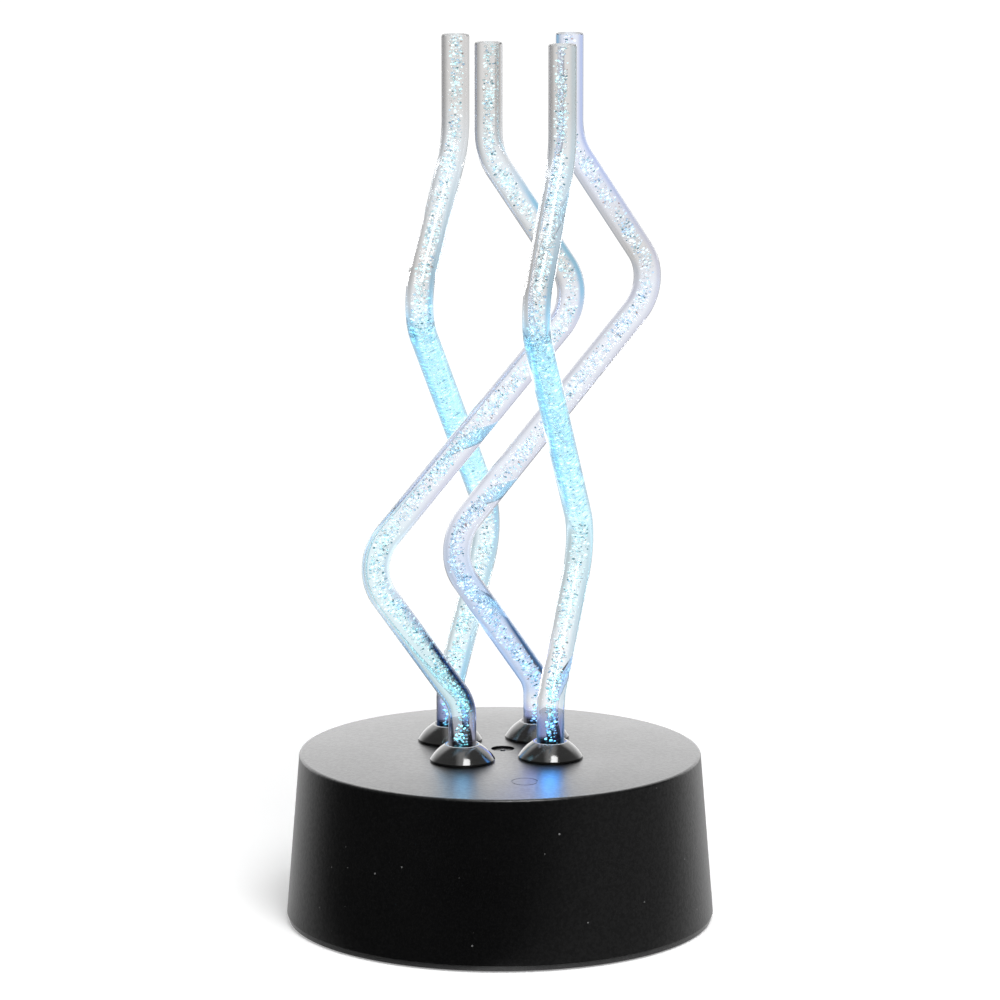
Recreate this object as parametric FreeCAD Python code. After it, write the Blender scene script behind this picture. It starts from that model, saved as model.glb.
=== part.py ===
"""Bubble-rod fibre optic lamp: four bent clear rods lit from a round battery base.

Millimetres. The origin is on the table under the middle of the base, +Z is up, the back is +Y.
Each piece of the lamp is a solid of its own, written to parts/NODE.step.
"""
import FreeCAD, Part
import math
import os
from FreeCAD import Vector

# Housing: a tapered shell with a slightly crowned top
BASE_BOTTOM_R = 77.5
BASE_TOP_R = 72.7
BASE_WALL = 2.4
SEAT_Z = 62.6
TOP_THICKNESS = 2.6
CROWN_FLAT_R = 36.0
CROWN_DROP = 1.3
TOP_EDGE_R = 1.0
GATE_PLACE = Vector(1.0, -0.3, 0)
GATE_R = 4.25
GATE_DEPTH = 0.8
VESTIGE_R = 1.0
VESTIGE_HEIGHT = 0.5
WITNESS_INSET = 22.35
WITNESS_TURN = -80.0
WITNESS_R = 4.75
WITNESS_LINE = 0.35
WITNESS_DEPTH = 0.15

# Bottom cover, its rim and the shadow groove under the housing
FOOT_PROUD = 0.6
RIM_HEIGHT = 1.8
RIM_INSET = 0.7
GROOVE_HEIGHT = 0.3
GROOVE_INSET = 1.3
PLATE_THICKNESS = 2.4
LOCATING_RING_HEIGHT = 2.0
LOCATING_RING_WALL = 2.0
LOCATING_GAP = 0.2

# Rubber feet
FOOT_R = 6.0
FOOT_THICKNESS = 1.4
FOOT_INSET = 13.5
FOOT_POCKET_GAP = 0.2

# Rods: a square of four, each bent in a zigzag. Heights are above the seat on the housing's top
ROD_R = 5.0
ROD_SPACING = 32.0
ROD_SQUARE_TURN = 8.4
ROD_TOP_HEIGHT = 258.1
ROD_END_CHAMFER = 0.3
BEND_HEIGHTS = (20.8, 73.7, 166.1, 219.4)
BEND_RADII = (15.0, 18.0, 18.0, 24.0)
# Each rod's axis, as its offset from its own foot at the low bend, the high bend and the straight top
ROD_OFFSETS = {
    "front_left": ((-35.4, -13.6), (43.3, 15.6), (9.4, 1.5)),
    "back_left": ((15.1, 42.0), (-12.2, -46.0), (2.3, -4.0)),
    "back_right": ((-33.8, -19.0), (44.5, 17.0), (11.3, -4.0)),
    "front_right": ((12.1, 36.2), (-6.8, -44.0), (3.7, -10.0)),
}
# Direction of each foot from the middle of the square, in quarter turns from back right
ROD_QUARTERS = {"back_right": 0, "back_left": 1, "front_left": 2, "front_right": 3}

# Collars: a dome on the housing, and a threaded spigot through it that holds the rod
COLLAR_R = 11.7
COLLAR_LIP = 0.8
COLLAR_HEIGHT = 6.0
COLLAR_CROWN_R = 6.3
COLLAR_BULGE_HEIGHT = 0.42
COLLAR_MOUTH = 0.7
ROD_BORE_GAP = 0.1
SPIGOT_WALL = 1.4
SPIGOT_LENGTH = 14.0
SPIGOT_LIP = 2.0
LIGHT_HOLE_R = 3.5
SPIGOT_HOLE_GAP = 0.15
NUT_FLATS = 18.0
NUT_THICKNESS = 3.0
NUT_THREAD_GAP = 0.05

# Round board with one multicolour LED under each rod
LED_R = 2.5
LED_HEIGHT = 8.6
LED_FLANGE_R = 2.9
LED_FLANGE_HEIGHT = 1.0
LED_TIP_GAP = 0.4
BOARD_THICKNESS = 1.6
LED_BOARD_R = 33.0
LED_POST_CIRCLE_R = 27.5
POST_R = 3.0

# Control board behind the battery bay, with the switch and the power inlet
CONTROL_LENGTH = 48.0
CONTROL_PAD_GAP = 1.0
CONTROL_DEPTH = 27.5
CONTROL_TOP_Z = 25.6
CONTROL_POST_X = 20.0
CONTROL_POST_INSET = 5.0
AXIS_HEIGHT = 6.5
CHIP_SIZE = (7.6, 10.0, 1.8)
CHIP_INSET = 14.0
CAPACITOR_R = 2.5
CAPACITOR_HEIGHT = 7.0
CAPACITOR_INSET = 4.0

# Flat pad inside the back wall, where the inlet and the button sit
PAD_HALF_LENGTH = 24.0
PAD_SETBACK = 6.6
PAD_HALF_HEIGHT = 6.4

# Power button, its plunger and the switch behind it
BUTTON_X = -14.0
BUTTON_R = 4.0
BUTTON_PROUD = 2.2
BUTTON_EDGE_R = 0.8
BUTTON_HOLE_GAP = 0.15
BUTTON_FLANGE_R = 5.5
BUTTON_FLANGE_THICKNESS = 1.2
BUTTON_REST_GAP = 0.1
BUTTON_TRAVEL = 1.5
SWITCH_SIZE = (8.0, 8.0)
SWITCH_STAND_OFF = 0.7
PLUNGER_R = 1.6
PLUNGER_HIDDEN = 3.5
PLUNGER_BORE_GAP = 0.1
PLUNGER_END_GAP = 0.5

# Power inlet, a low-voltage barrel socket
INLET_X = 14.0
INLET_WIDTH = 9.0
INLET_HEIGHT = 11.0
INLET_BODY_LENGTH = 11.5
INLET_NOSE_R = 4.0
INLET_NOSE_GAP = 0.2
INLET_RECESS = 0.8
INLET_BORE_R = 2.8
INLET_BORE_DEPTH = 10.0
INLET_PIN_R = 1.0
INLET_PIN_RECESS = 1.0

# Three AA cells in the bay of the bottom cover
CELL_R = 7.15
CELL_LENGTH = 50.5
CELL_NUB_R = 2.75
CELL_NUB_HEIGHT = 1.0
CELL_EDGE_R = 0.6
CELL_GAP = 0.5
CELL_NAMES = ("front", "middle", "back")
BAY_WALL = 1.6
BAY_SIDE_GAP = 0.2
CELL_HEIGHT_GAP = 0.4

# Contacts at the ends of the bay
CONTACT_SPACE = 3.4
CONTACT_THICKNESS = 0.4
CONTACT_BOTTOM_Z = 4.6
CONTACT_TOP_Z = 15.2
CONTACT_HALF_WIDTH = 5.0
LEAF_HALF_WIDTH = 3.5
LEAF_FLAT = 1.5
LEAF_TIP_DEPTH = 1.2
LEAF_TIP_DROP = 1.2
DIMPLE_BASE_R = 4.0
DIMPLE_TIP_R = 2.2
TAIL_HALF_WIDTH = 1.5
TAIL_ABOVE_ROOF = 2.6
TAIL_SLOT_GAP = 0.3

# Battery door
DOOR_THICKNESS = 1.6
DOOR_LEDGE = 1.2
DOOR_GAP = 0.2
DOOR_TOP_GAP = 0.1
TAB_Y = 14.0
TAB_WIDTH = 7.0
TAB_REACH = 1.4
TAB_LIP = 0.6
TAB_GAP = 0.05
TAB_POCKET_GAP = 0.25
TONGUE_HALF_WIDTH = 5.0
TONGUE_LENGTH = 9.0
TONGUE_SLOT = 0.8
LATCH_POST_HEIGHT = 2.0
LATCH_POST_THICKNESS = 1.2
LATCH_POST_GAP = 0.35
LATCH_POST_INSET = 1.0
SCOOP_R = 8.0
SCOOP_DEPTH = 1.3
SCOOP_HALF_WIDTH = 6.0

# Screws: housing to cover, and boards to their posts
SCREW_INSET = 13.5
CUP_R = 4.8
CUP_TOP_Z = 6.4
HEAD_SEAT_Z = 3.4
SCREW_HEAD_R = 2.8
SCREW_HEAD_HEIGHT = 2.0
SCREW_SHANK_R = 1.45
SCREW_LENGTH = 10.0
SCREW_CLEARANCE = 0.3
PILOT_GAP = 0.05
PILOT_EXTRA = 1.5
SCREW_POST_R = 3.8
RIB_THICKNESS = 1.6
SMALL_HEAD_R = 2.3
SMALL_HEAD_HEIGHT = 1.6
SMALL_SHANK_R = 1.1
SMALL_LENGTH = 7.0
RECESS_WIDTH = 0.7
RECESS_LENGTH_SHARE = 1.3
RECESS_DEPTH = 0.9

# Internal leads
LEAD_R = 0.6
LEAD_BEND_R = 3.0
LEAD_CORNER_X = 19.0
LEAD_ROOF_Y = 16.0
BATTERY_PAD_X = 10.0
BATTERY_PAD_INSET = 3.0
LED_LEAD_PITCH = 2.5
LED_LEAD_COUNT = 4
LED_LEAD_BEND_R = 2.2
LED_LEAD_FRONT_Y = 30.6
LED_LEAD_INSET = 4.0
LED_LEAD_RISE = 5.4
LED_LEAD_DROP = 5.5
GUIDE_HEIGHT = 2.2
GUIDE_THICKNESS = 1.0
GUIDE_LENGTH = 4.0
GUIDE_GAP = 0.1
GUIDE_Y = 20.0

# Levels and places that follow from the sizes above
COVER_Z = FOOT_PROUD
SHELL_BOTTOM_Z = COVER_Z + RIM_HEIGHT + GROOVE_HEIGHT
PLATE_TOP_Z = COVER_Z + PLATE_THICKNESS
EDGE_Z = SEAT_Z - CROWN_DROP
CEILING_Z = SEAT_Z - TOP_THICKNESS
SPIGOT_BOTTOM_Z = SEAT_Z - SPIGOT_LENGTH
ROD_BOTTOM_Z = SPIGOT_BOTTOM_Z + SPIGOT_LIP
SPIGOT_BORE_R = ROD_R + ROD_BORE_GAP
SPIGOT_R = SPIGOT_BORE_R + SPIGOT_WALL
LED_BOARD_TOP_Z = ROD_BOTTOM_Z - LED_TIP_GAP - LED_HEIGHT
LED_BOARD_Z = LED_BOARD_TOP_Z - BOARD_THICKNESS
CONTROL_Z = CONTROL_TOP_Z - BOARD_THICKNESS
AXIS_Z = CONTROL_TOP_Z + AXIS_HEIGHT
WALL_TAPER = (BASE_BOTTOM_R - BASE_TOP_R) / (EDGE_Z - SHELL_BOTTOM_Z)
WALL_R_AT_AXIS = BASE_BOTTOM_R - WALL_TAPER * (AXIS_Z - SHELL_BOTTOM_Z)
PAD_FACE_Y = WALL_R_AT_AXIS - PAD_SETBACK
CONTROL_BACK_Y = PAD_FACE_Y - CONTROL_PAD_GAP
CONTROL_FRONT_Y = CONTROL_BACK_Y - CONTROL_DEPTH
CONTROL_POST_Y = CONTROL_FRONT_Y + CONTROL_POST_INSET
BUTTON_FRONT_Y = math.sqrt(WALL_R_AT_AXIS ** 2 - BUTTON_X ** 2) + BUTTON_PROUD
FLANGE_FRONT_Y = PAD_FACE_Y - BUTTON_REST_GAP
FLANGE_BACK_Y = FLANGE_FRONT_Y - BUTTON_FLANGE_THICKNESS
SWITCH_FRONT_Y = FLANGE_BACK_Y - BUTTON_TRAVEL - SWITCH_STAND_OFF
INLET_FACE_Y = math.sqrt(WALL_R_AT_AXIS ** 2 - INLET_X ** 2) - INLET_RECESS
FOOT_CIRCLE_R = BASE_BOTTOM_R - FOOT_INSET
SCREW_CIRCLE_R = BASE_BOTTOM_R - SCREW_INSET
CELL_PITCH = 2 * CELL_R + CELL_GAP
DOOR_TOP_Z = COVER_Z + DOOR_THICKNESS
CELL_Z = DOOR_TOP_Z + CELL_HEIGHT_GAP + CELL_R
BAY_CEILING_Z = CELL_Z + CELL_R + CELL_HEIGHT_GAP
BAY_TOP_Z = BAY_CEILING_Z + BAY_WALL
BAY_HALF_LENGTH = CELL_LENGTH / 2 + CONTACT_SPACE
BAY_HALF_WIDTH = len(CELL_NAMES) * CELL_PITCH / 2 + BAY_SIDE_GAP
RECESS_HALF_LENGTH = BAY_HALF_LENGTH + DOOR_LEDGE
RECESS_HALF_WIDTH = BAY_HALF_WIDTH + DOOR_LEDGE
RECESS_TOP_Z = DOOR_TOP_Z + DOOR_TOP_GAP
DOOR_PIVOT = Vector(-RECESS_HALF_LENGTH, 0, COVER_Z + TAB_LIP)
LEAD_Z = BAY_TOP_Z + LEAD_R

# A cutting shape that passes a face runs past it by MARGIN, and one that passes everything by REACH
MARGIN = 1.0
REACH = 2 * BASE_BOTTOM_R
TOLERANCE = 0.01

UP = Vector(0, 0, 1)
BACKWARD = Vector(0, 1, 0)


def box(low, high):
    """A box between its lowest and highest corners."""
    size = [b - a for a, b in zip(low, high)]
    return Part.makeBox(*size, Vector(*low))


def drum(radius, low_z, high_z, place=Vector()):
    """An upright cylinder between two levels, about the axis through place."""
    return Part.makeCylinder(radius, high_z - low_z, Vector(place.x, place.y, low_z), UP)


def barrel(radius, x, low_y, high_y, z=AXIS_Z):
    """A cylinder along Y, as the button and the inlet are."""
    return Part.makeCylinder(radius, high_y - low_y, Vector(x, low_y, z), BACKWARD)


def turned(profile):
    """A solid of revolution about Z of a closed chain of edges in the XZ plane."""
    face = Part.Face(Part.Wire(Part.__sortEdges__(profile)))
    return face.revolve(Vector(), UP, 360)


def line(a, b):
    """A straight edge in the XZ plane between two (radius, height) points."""
    return Part.LineSegment(Vector(a[0], 0, a[1]), Vector(b[0], 0, b[1])).toShape()


def arc(a, middle, b):
    """A circular edge in the XZ plane through three (radius, height) points."""
    points = [Vector(p[0], 0, p[1]) for p in (a, middle, b)]
    return Part.Arc(*points).toShape()


def around(count, radius, start=0.0):
    """Places evenly spaced on a circle about Z, the first at start degrees."""
    angles = [math.radians(start + 360.0 * k / count) for k in range(count)]
    return [Vector(radius * math.cos(a), radius * math.sin(a), 0) for a in angles]


def joined(shapes):
    """The shapes fused into one clean solid."""
    return shapes[0].multiFuse(shapes[1:]).removeSplitter()


def bent_rod(points, bend_radii, radius):
    """A round rod along straight runs that tangent arcs join, one arc at each inner point."""
    pieces = []
    start = points[0]
    for before, corner, after, bend in zip(points, points[1:], points[2:], bend_radii):
        back = (before - corner).normalize()
        onward = (after - corner).normalize()
        half_angle = back.getAngle(onward) / 2
        inset = bend / math.tan(half_angle)
        arc_start = corner + back * inset
        centre = corner + (back + onward).normalize() * (bend / math.sin(half_angle))
        axis = (arc_start - centre).cross(corner - arc_start)
        section = Part.Face(Part.Wire(Part.makeCircle(radius, arc_start, back)))
        turn = 180 - math.degrees(2 * half_angle)
        run = arc_start - start
        pieces.append(Part.makeCylinder(radius, run.Length, start, run))
        pieces.append(section.revolve(centre, axis, turn))
        start = corner + onward * inset
    run = points[-1] - start
    pieces.append(Part.makeCylinder(radius, run.Length, start, run))
    return joined(pieces)


# The housing

def crown_level(radius):
    """Height of the crowned top at a distance from the middle: flat, then a tangent arc down."""
    width = BASE_TOP_R - CROWN_FLAT_R
    crown_r = (width ** 2 + CROWN_DROP ** 2) / (2 * CROWN_DROP)
    beyond = max(0.0, radius - CROWN_FLAT_R)
    return SEAT_Z - crown_r + math.sqrt(crown_r ** 2 - beyond ** 2)


def under_crown(depth):
    """All that lies under a surface this far below the crowned top, out to beyond the housing."""
    outer = max(BASE_BOTTOM_R, BASE_TOP_R) + BASE_WALL
    middle = (CROWN_FLAT_R + outer) / 2
    levels = {r: crown_level(r) - depth for r in (0.0, CROWN_FLAT_R, middle, outer)}
    return turned([
        line((0, 0), (0, levels[0.0])),
        line((0, levels[0.0]), (CROWN_FLAT_R, levels[CROWN_FLAT_R])),
        arc((CROWN_FLAT_R, levels[CROWN_FLAT_R]), (middle, levels[middle]), (outer, levels[outer])),
        line((outer, levels[outer]), (outer, 0)),
        line((outer, 0), (0, 0)),
    ])


def tapered_body(wall, depth):
    """The housing's outer form, drawn in by a wall at its side and by a depth at its top."""
    height = SEAT_Z - SHELL_BOTTOM_Z
    bottom_r = BASE_BOTTOM_R - wall
    cone = Part.makeCone(bottom_r, bottom_r - WALL_TAPER * height, height, Vector(0, 0, SHELL_BOTTOM_Z))
    return cone.common(under_crown(depth))


def wall_inner_r(z):
    """Radius of the side wall's inner face at a level."""
    return BASE_BOTTOM_R - BASE_WALL - WALL_TAPER * (z - SHELL_BOTTOM_Z)


def outer_body():
    """The outer form with its rounded top edge."""
    body = tapered_body(0, 0)
    rim = [e for e in body.Edges if abs(e.BoundBox.ZMin - EDGE_Z) < TOLERANCE
           and e.BoundBox.ZLength < TOLERANCE]
    return body.makeFillet(TOP_EDGE_R, rim[:1])


def cover_screw_places():
    """The four screws that hold the cover, between the feet."""
    return around(4, SCREW_CIRCLE_R, 45)


def screw_posts():
    """Four posts that take the cover screws, each ribbed to the wall."""
    posts = []
    for place in cover_screw_places():
        rib = box((0, -RIB_THICKNESS / 2, CUP_TOP_Z), (BASE_BOTTOM_R, RIB_THICKNESS / 2, SEAT_Z))
        rib.translate(Vector(SCREW_CIRCLE_R, 0, 0))
        rib.rotate(Vector(), UP, math.degrees(math.atan2(place.y, place.x)))
        posts.append(drum(SCREW_POST_R, CUP_TOP_Z, SEAT_Z, place))
        posts.append(rib)
    return posts


def control_post_places():
    """The two screws that hold the control board."""
    return [Vector(side * CONTROL_POST_X, CONTROL_POST_Y, 0) for side in (-1, 1)]


def led_post_places():
    """The four screws that hold the LED board, halfway between the rods."""
    return around(4, LED_POST_CIRCLE_R, ROD_SQUARE_TURN)


def rod_place(name):
    """Where a rod's foot stands, at a corner of the turned square."""
    angle = math.radians(45 + 90 * ROD_QUARTERS[name] + ROD_SQUARE_TURN)
    reach = ROD_SPACING / math.sqrt(2)
    return Vector(reach * math.cos(angle), reach * math.sin(angle), 0)


def pilot(place, low_z, screw_r, length):
    """The hole that a screw cuts its thread in, a little deeper than the screw."""
    return drum(screw_r + PILOT_GAP, low_z, low_z + length + PILOT_EXTRA, place)


def base_shell():
    """Moulded housing with its posts, wall pad, rod holes, button and inlet holes and gate mark."""
    ribs = screw_posts()
    ribs += [drum(POST_R, CONTROL_TOP_Z, SEAT_Z, place) for place in control_post_places()]
    ribs += [drum(POST_R, LED_BOARD_TOP_Z, SEAT_Z, place) for place in led_post_places()]
    ribs.append(box((-PAD_HALF_LENGTH, PAD_FACE_Y, AXIS_Z - PAD_HALF_HEIGHT),
                    (PAD_HALF_LENGTH, REACH, AXIS_Z + PAD_HALF_HEIGHT)))
    cavity = tapered_body(BASE_WALL, TOP_THICKNESS).cut(Part.makeCompound(ribs))
    shell = outer_body().cut(cavity)

    cuts = [drum(SPIGOT_R + SPIGOT_HOLE_GAP, CEILING_Z - MARGIN, SEAT_Z + MARGIN, rod_place(name))
            for name in ROD_OFFSETS]
    shank_in_post = SCREW_LENGTH - (CUP_TOP_Z - HEAD_SEAT_Z)
    cuts += [pilot(place, CUP_TOP_Z, SCREW_SHANK_R, shank_in_post) for place in cover_screw_places()]
    small_in_post = SMALL_LENGTH - BOARD_THICKNESS
    cuts += [pilot(place, CONTROL_TOP_Z, SMALL_SHANK_R, small_in_post) for place in control_post_places()]
    cuts += [pilot(place, LED_BOARD_TOP_Z, SMALL_SHANK_R, small_in_post) for place in led_post_places()]
    cuts.append(barrel(BUTTON_R + BUTTON_HOLE_GAP, BUTTON_X, PAD_FACE_Y - MARGIN, REACH))
    cuts.append(barrel(INLET_NOSE_R + INLET_NOSE_GAP, INLET_X, PAD_FACE_Y - MARGIN, REACH))
    gate_floor_z = SEAT_Z - GATE_DEPTH
    vestige = Part.makeCone(VESTIGE_R, VESTIGE_R / 2, VESTIGE_HEIGHT, GATE_PLACE + UP * gate_floor_z)
    cuts.append(drum(GATE_R, gate_floor_z, SEAT_Z + MARGIN, GATE_PLACE).cut(vestige))
    witness_place = around(1, BASE_TOP_R - WITNESS_INSET, WITNESS_TURN)[0]
    ring = drum(WITNESS_R, EDGE_Z - MARGIN, SEAT_Z, witness_place)
    ring = ring.cut(drum(WITNESS_R - WITNESS_LINE, EDGE_Z - MARGIN, SEAT_Z, witness_place))
    cuts.append(ring.cut(under_crown(WITNESS_DEPTH)))
    return shell.cut(Part.makeCompound(cuts))


# The bottom cover and what fits in it

def cell_rows():
    """The Y place of each cell by its name, front to back."""
    middle = (len(CELL_NAMES) - 1) / 2
    return {name: (k - middle) * CELL_PITCH for k, name in enumerate(CELL_NAMES)}


def tail_places():
    """The two soldering tails: positive at the front right, negative at the back left."""
    rows = cell_rows()
    return {"positive": (1, rows["front"]), "negative": (-1, rows["back"])}


def wire_guides():
    """Two pairs of small fins on the bay's roof that hold the battery leads."""
    fins = []
    for side in (-1, 1):
        middle = side * BATTERY_PAD_X
        half_slot = LEAD_R + GUIDE_GAP
        for edge in (-1, 1):
            near = middle + edge * half_slot
            far = middle + edge * (half_slot + GUIDE_THICKNESS)
            fins.append(box((min(near, far), GUIDE_Y - GUIDE_LENGTH / 2, BAY_TOP_Z),
                            (max(near, far), GUIDE_Y + GUIDE_LENGTH / 2, BAY_TOP_Z + GUIDE_HEIGHT)))
    return fins


def bottom_cover():
    """Cover plate with rim, locating ring, battery bay, screw cups, foot pockets and door recess."""
    rim_top_z = COVER_Z + RIM_HEIGHT
    ring_top_z = PLATE_TOP_Z + LOCATING_RING_HEIGHT
    ring_r = min(wall_inner_r(SHELL_BOTTOM_Z), wall_inner_r(ring_top_z)) - LOCATING_GAP
    ring = drum(ring_r, SHELL_BOTTOM_Z, ring_top_z)
    ring = ring.cut(drum(ring_r - LOCATING_RING_WALL, PLATE_TOP_Z, REACH))
    bodies = [
        drum(BASE_BOTTOM_R - RIM_INSET, COVER_Z, rim_top_z),
        drum(BASE_BOTTOM_R - GROOVE_INSET, rim_top_z, SHELL_BOTTOM_Z),
        ring,
        box((-BAY_HALF_LENGTH - BAY_WALL, -BAY_HALF_WIDTH - BAY_WALL, SHELL_BOTTOM_Z),
            (BAY_HALF_LENGTH + BAY_WALL, BAY_HALF_WIDTH + BAY_WALL, BAY_TOP_Z)),
    ]
    bodies += [drum(CUP_R, SHELL_BOTTOM_Z, CUP_TOP_Z, place) for place in cover_screw_places()]
    bodies += wire_guides()

    cuts = [
        box((-BAY_HALF_LENGTH, -BAY_HALF_WIDTH, 0), (BAY_HALF_LENGTH, BAY_HALF_WIDTH, BAY_CEILING_Z)),
        box((-RECESS_HALF_LENGTH, -RECESS_HALF_WIDTH, 0),
            (RECESS_HALF_LENGTH, RECESS_HALF_WIDTH, RECESS_TOP_Z)),
    ]
    for place in cover_screw_places():
        cuts.append(drum(SCREW_HEAD_R + SCREW_CLEARANCE, 0, HEAD_SEAT_Z, place))
        cuts.append(drum(SCREW_SHANK_R + SCREW_CLEARANCE, 0, CUP_TOP_Z + MARGIN, place))
    cuts += [drum(FOOT_R + FOOT_POCKET_GAP, 0, FOOT_THICKNESS, place) for place in foot_places()]
    for side, y in tail_places().values():
        wall_x = side * BAY_HALF_LENGTH
        inner_x = wall_x - side * (CONTACT_THICKNESS + TAIL_SLOT_GAP)
        half = TAIL_HALF_WIDTH + TAIL_SLOT_GAP
        cuts.append(box((min(wall_x, inner_x), y - half, BAY_CEILING_Z - MARGIN),
                        (max(wall_x, inner_x), y + half, REACH)))
    cuts += tab_pockets()
    scoop_axis = Vector(RECESS_HALF_LENGTH, -SCOOP_HALF_WIDTH, COVER_Z + SCOOP_DEPTH - SCOOP_R)
    cuts.append(Part.makeCylinder(SCOOP_R, 2 * SCOOP_HALF_WIDTH, scoop_axis, BACKWARD))
    return joined(bodies).cut(Part.makeCompound(cuts))


def tab_pockets():
    """Half-round pockets above a thin lip, in which the door's tabs hook and swing."""
    pocket_r = math.hypot(TAB_REACH, DOOR_TOP_Z - DOOR_PIVOT.z) + TAB_POCKET_GAP
    width = TAB_WIDTH + 2 * DOOR_GAP
    above_lip = box((-REACH, -REACH, DOOR_PIVOT.z), (REACH, REACH, REACH))
    starts = [DOOR_PIVOT + BACKWARD * (y - width / 2) for y in (-TAB_Y, TAB_Y)]
    return [Part.makeCylinder(pocket_r, width, start, BACKWARD).common(above_lip) for start in starts]


def battery_door():
    """Door plate with two hooked tabs at one end and a springy tongue at the other."""
    half_length = RECESS_HALF_LENGTH - DOOR_GAP
    half_width = RECESS_HALF_WIDTH - DOOR_GAP
    plate = box((-half_length, -half_width, COVER_Z), (half_length, half_width, DOOR_TOP_Z))
    tab_bottom_z = DOOR_PIVOT.z + TAB_GAP
    chamfer = tab_bottom_z - COVER_Z
    corner = [Vector(-half_length, -REACH, COVER_Z), Vector(-half_length + chamfer, -REACH, COVER_Z),
              Vector(-half_length, -REACH, tab_bottom_z)]
    wedge = Part.Face(Part.makePolygon(corner + corner[:1])).extrude(BACKWARD * 2 * REACH)
    tabs = [box((-RECESS_HALF_LENGTH - TAB_REACH, y - TAB_WIDTH / 2, tab_bottom_z),
                (-half_length + MARGIN, y + TAB_WIDTH / 2, DOOR_TOP_Z)) for y in (-TAB_Y, TAB_Y)]
    post_x = BAY_HALF_LENGTH - LATCH_POST_GAP
    post_half_width = TONGUE_HALF_WIDTH - LATCH_POST_INSET
    post = box((post_x - LATCH_POST_THICKNESS, -post_half_width, DOOR_TOP_Z),
               (post_x, post_half_width, DOOR_TOP_Z + LATCH_POST_HEIGHT))
    slots = []
    for side in (-1, 1):
        inner = side * TONGUE_HALF_WIDTH
        outer = side * (TONGUE_HALF_WIDTH + TONGUE_SLOT)
        slots.append(box((half_length - TONGUE_LENGTH, min(inner, outer), 0),
                         (REACH, max(inner, outer), REACH)))
    return joined([plate.cut(wedge)] + tabs + [post]).cut(Part.makeCompound(slots))


def cell(row, end):
    """One AA cell along X, with its positive nub at the end given as -1 or 1."""
    half = CELL_LENGTH / 2
    can = Part.makeCylinder(CELL_R, CELL_LENGTH - CELL_NUB_HEIGHT, Vector(-half, 0, 0), Vector(1, 0, 0))
    can = can.makeFillet(CELL_EDGE_R, [e for e in can.Edges if e.BoundBox.XLength < CELL_EDGE_R])
    nub = Part.makeCylinder(CELL_NUB_R, CELL_NUB_HEIGHT, Vector(half - CELL_NUB_HEIGHT, 0, 0), Vector(1, 0, 0))
    body = can.fuse(nub)
    if end < 0:
        body.rotate(Vector(), UP, 180)
    body.translate(Vector(0, row, CELL_Z))
    return body


def contact(side, leaf_rows=(), dimple_rows=(), tail_row=None):
    """Contact strip on a bay's end wall: leaves press cans, dimples meet nubs, a tail takes a lead."""
    rows = [*leaf_rows, *dimple_rows]
    wall_x = side * BAY_HALF_LENGTH
    low_y = min(rows) - CONTACT_HALF_WIDTH
    high_y = max(rows) + CONTACT_HALF_WIDTH

    def inward(depth):
        return wall_x - side * depth

    def strip(half_width, middle_y, depth, low_z, high_z):
        xs = sorted((wall_x, inward(depth)))
        return box((xs[0], middle_y - half_width, low_z), (xs[1], middle_y + half_width, high_z))

    half_length = (high_y - low_y) / 2
    middle_y = (high_y + low_y) / 2
    pieces = [strip(half_length, middle_y, CONTACT_THICKNESS, CONTACT_BOTTOM_Z, CONTACT_TOP_Z)]
    for row in leaf_rows:
        front = [(CONTACT_THICKNESS, CONTACT_BOTTOM_Z), (CONTACT_SPACE, CELL_Z - LEAF_FLAT),
                 (CONTACT_SPACE, CELL_Z + LEAF_FLAT), (LEAF_TIP_DEPTH, CONTACT_TOP_Z - LEAF_TIP_DROP)]
        back = [(depth - CONTACT_THICKNESS, z) for depth, z in reversed(front)]
        corners = front + back + front[:1]
        outline = [Vector(inward(depth), row - LEAF_HALF_WIDTH, z) for depth, z in corners]
        pieces.append(Part.Face(Part.makePolygon(outline)).extrude(BACKWARD * 2 * LEAF_HALF_WIDTH))
    for row in dimple_rows:
        place = Vector(inward(CONTACT_THICKNESS), row, CELL_Z)
        height = CONTACT_SPACE - CONTACT_THICKNESS
        pieces.append(Part.makeCone(DIMPLE_BASE_R, DIMPLE_TIP_R, height, place, Vector(-side, 0, 0)))
    if tail_row is not None:
        top_z = BAY_TOP_Z + TAIL_ABOVE_ROOF
        pieces.append(strip(TAIL_HALF_WIDTH, tail_row, CONTACT_THICKNESS, CONTACT_TOP_Z - MARGIN, top_z))
    return joined(pieces)


def foot_places():
    """The four feet, at the right, back, left and front."""
    return around(4, FOOT_CIRCLE_R)


def foot(place):
    """Rubber pad glued in its pocket under the cover."""
    return drum(FOOT_R, 0, FOOT_THICKNESS, place)


def screw(place, seat_z, head_r, head_height, shank_r, length):
    """Cross-headed self-tapping screw that points up, its head under seat_z."""
    head = drum(head_r, seat_z - head_height, seat_z, place)
    reach = head_r * RECESS_LENGTH_SHARE / 2
    for half_x, half_y in ((reach, RECESS_WIDTH / 2), (RECESS_WIDTH / 2, reach)):
        low = (place.x - half_x, place.y - half_y, seat_z - head_height)
        high = (place.x + half_x, place.y + half_y, seat_z - head_height + RECESS_DEPTH)
        head = head.cut(box(low, high))
    point_z = seat_z + length - shank_r
    shank = drum(shank_r, seat_z, point_z, place)
    point = Part.makeCone(shank_r, shank_r / 4, shank_r, Vector(place.x, place.y, point_z))
    return joined([head, shank, point])


# The rods, their collars and the light under them

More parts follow.
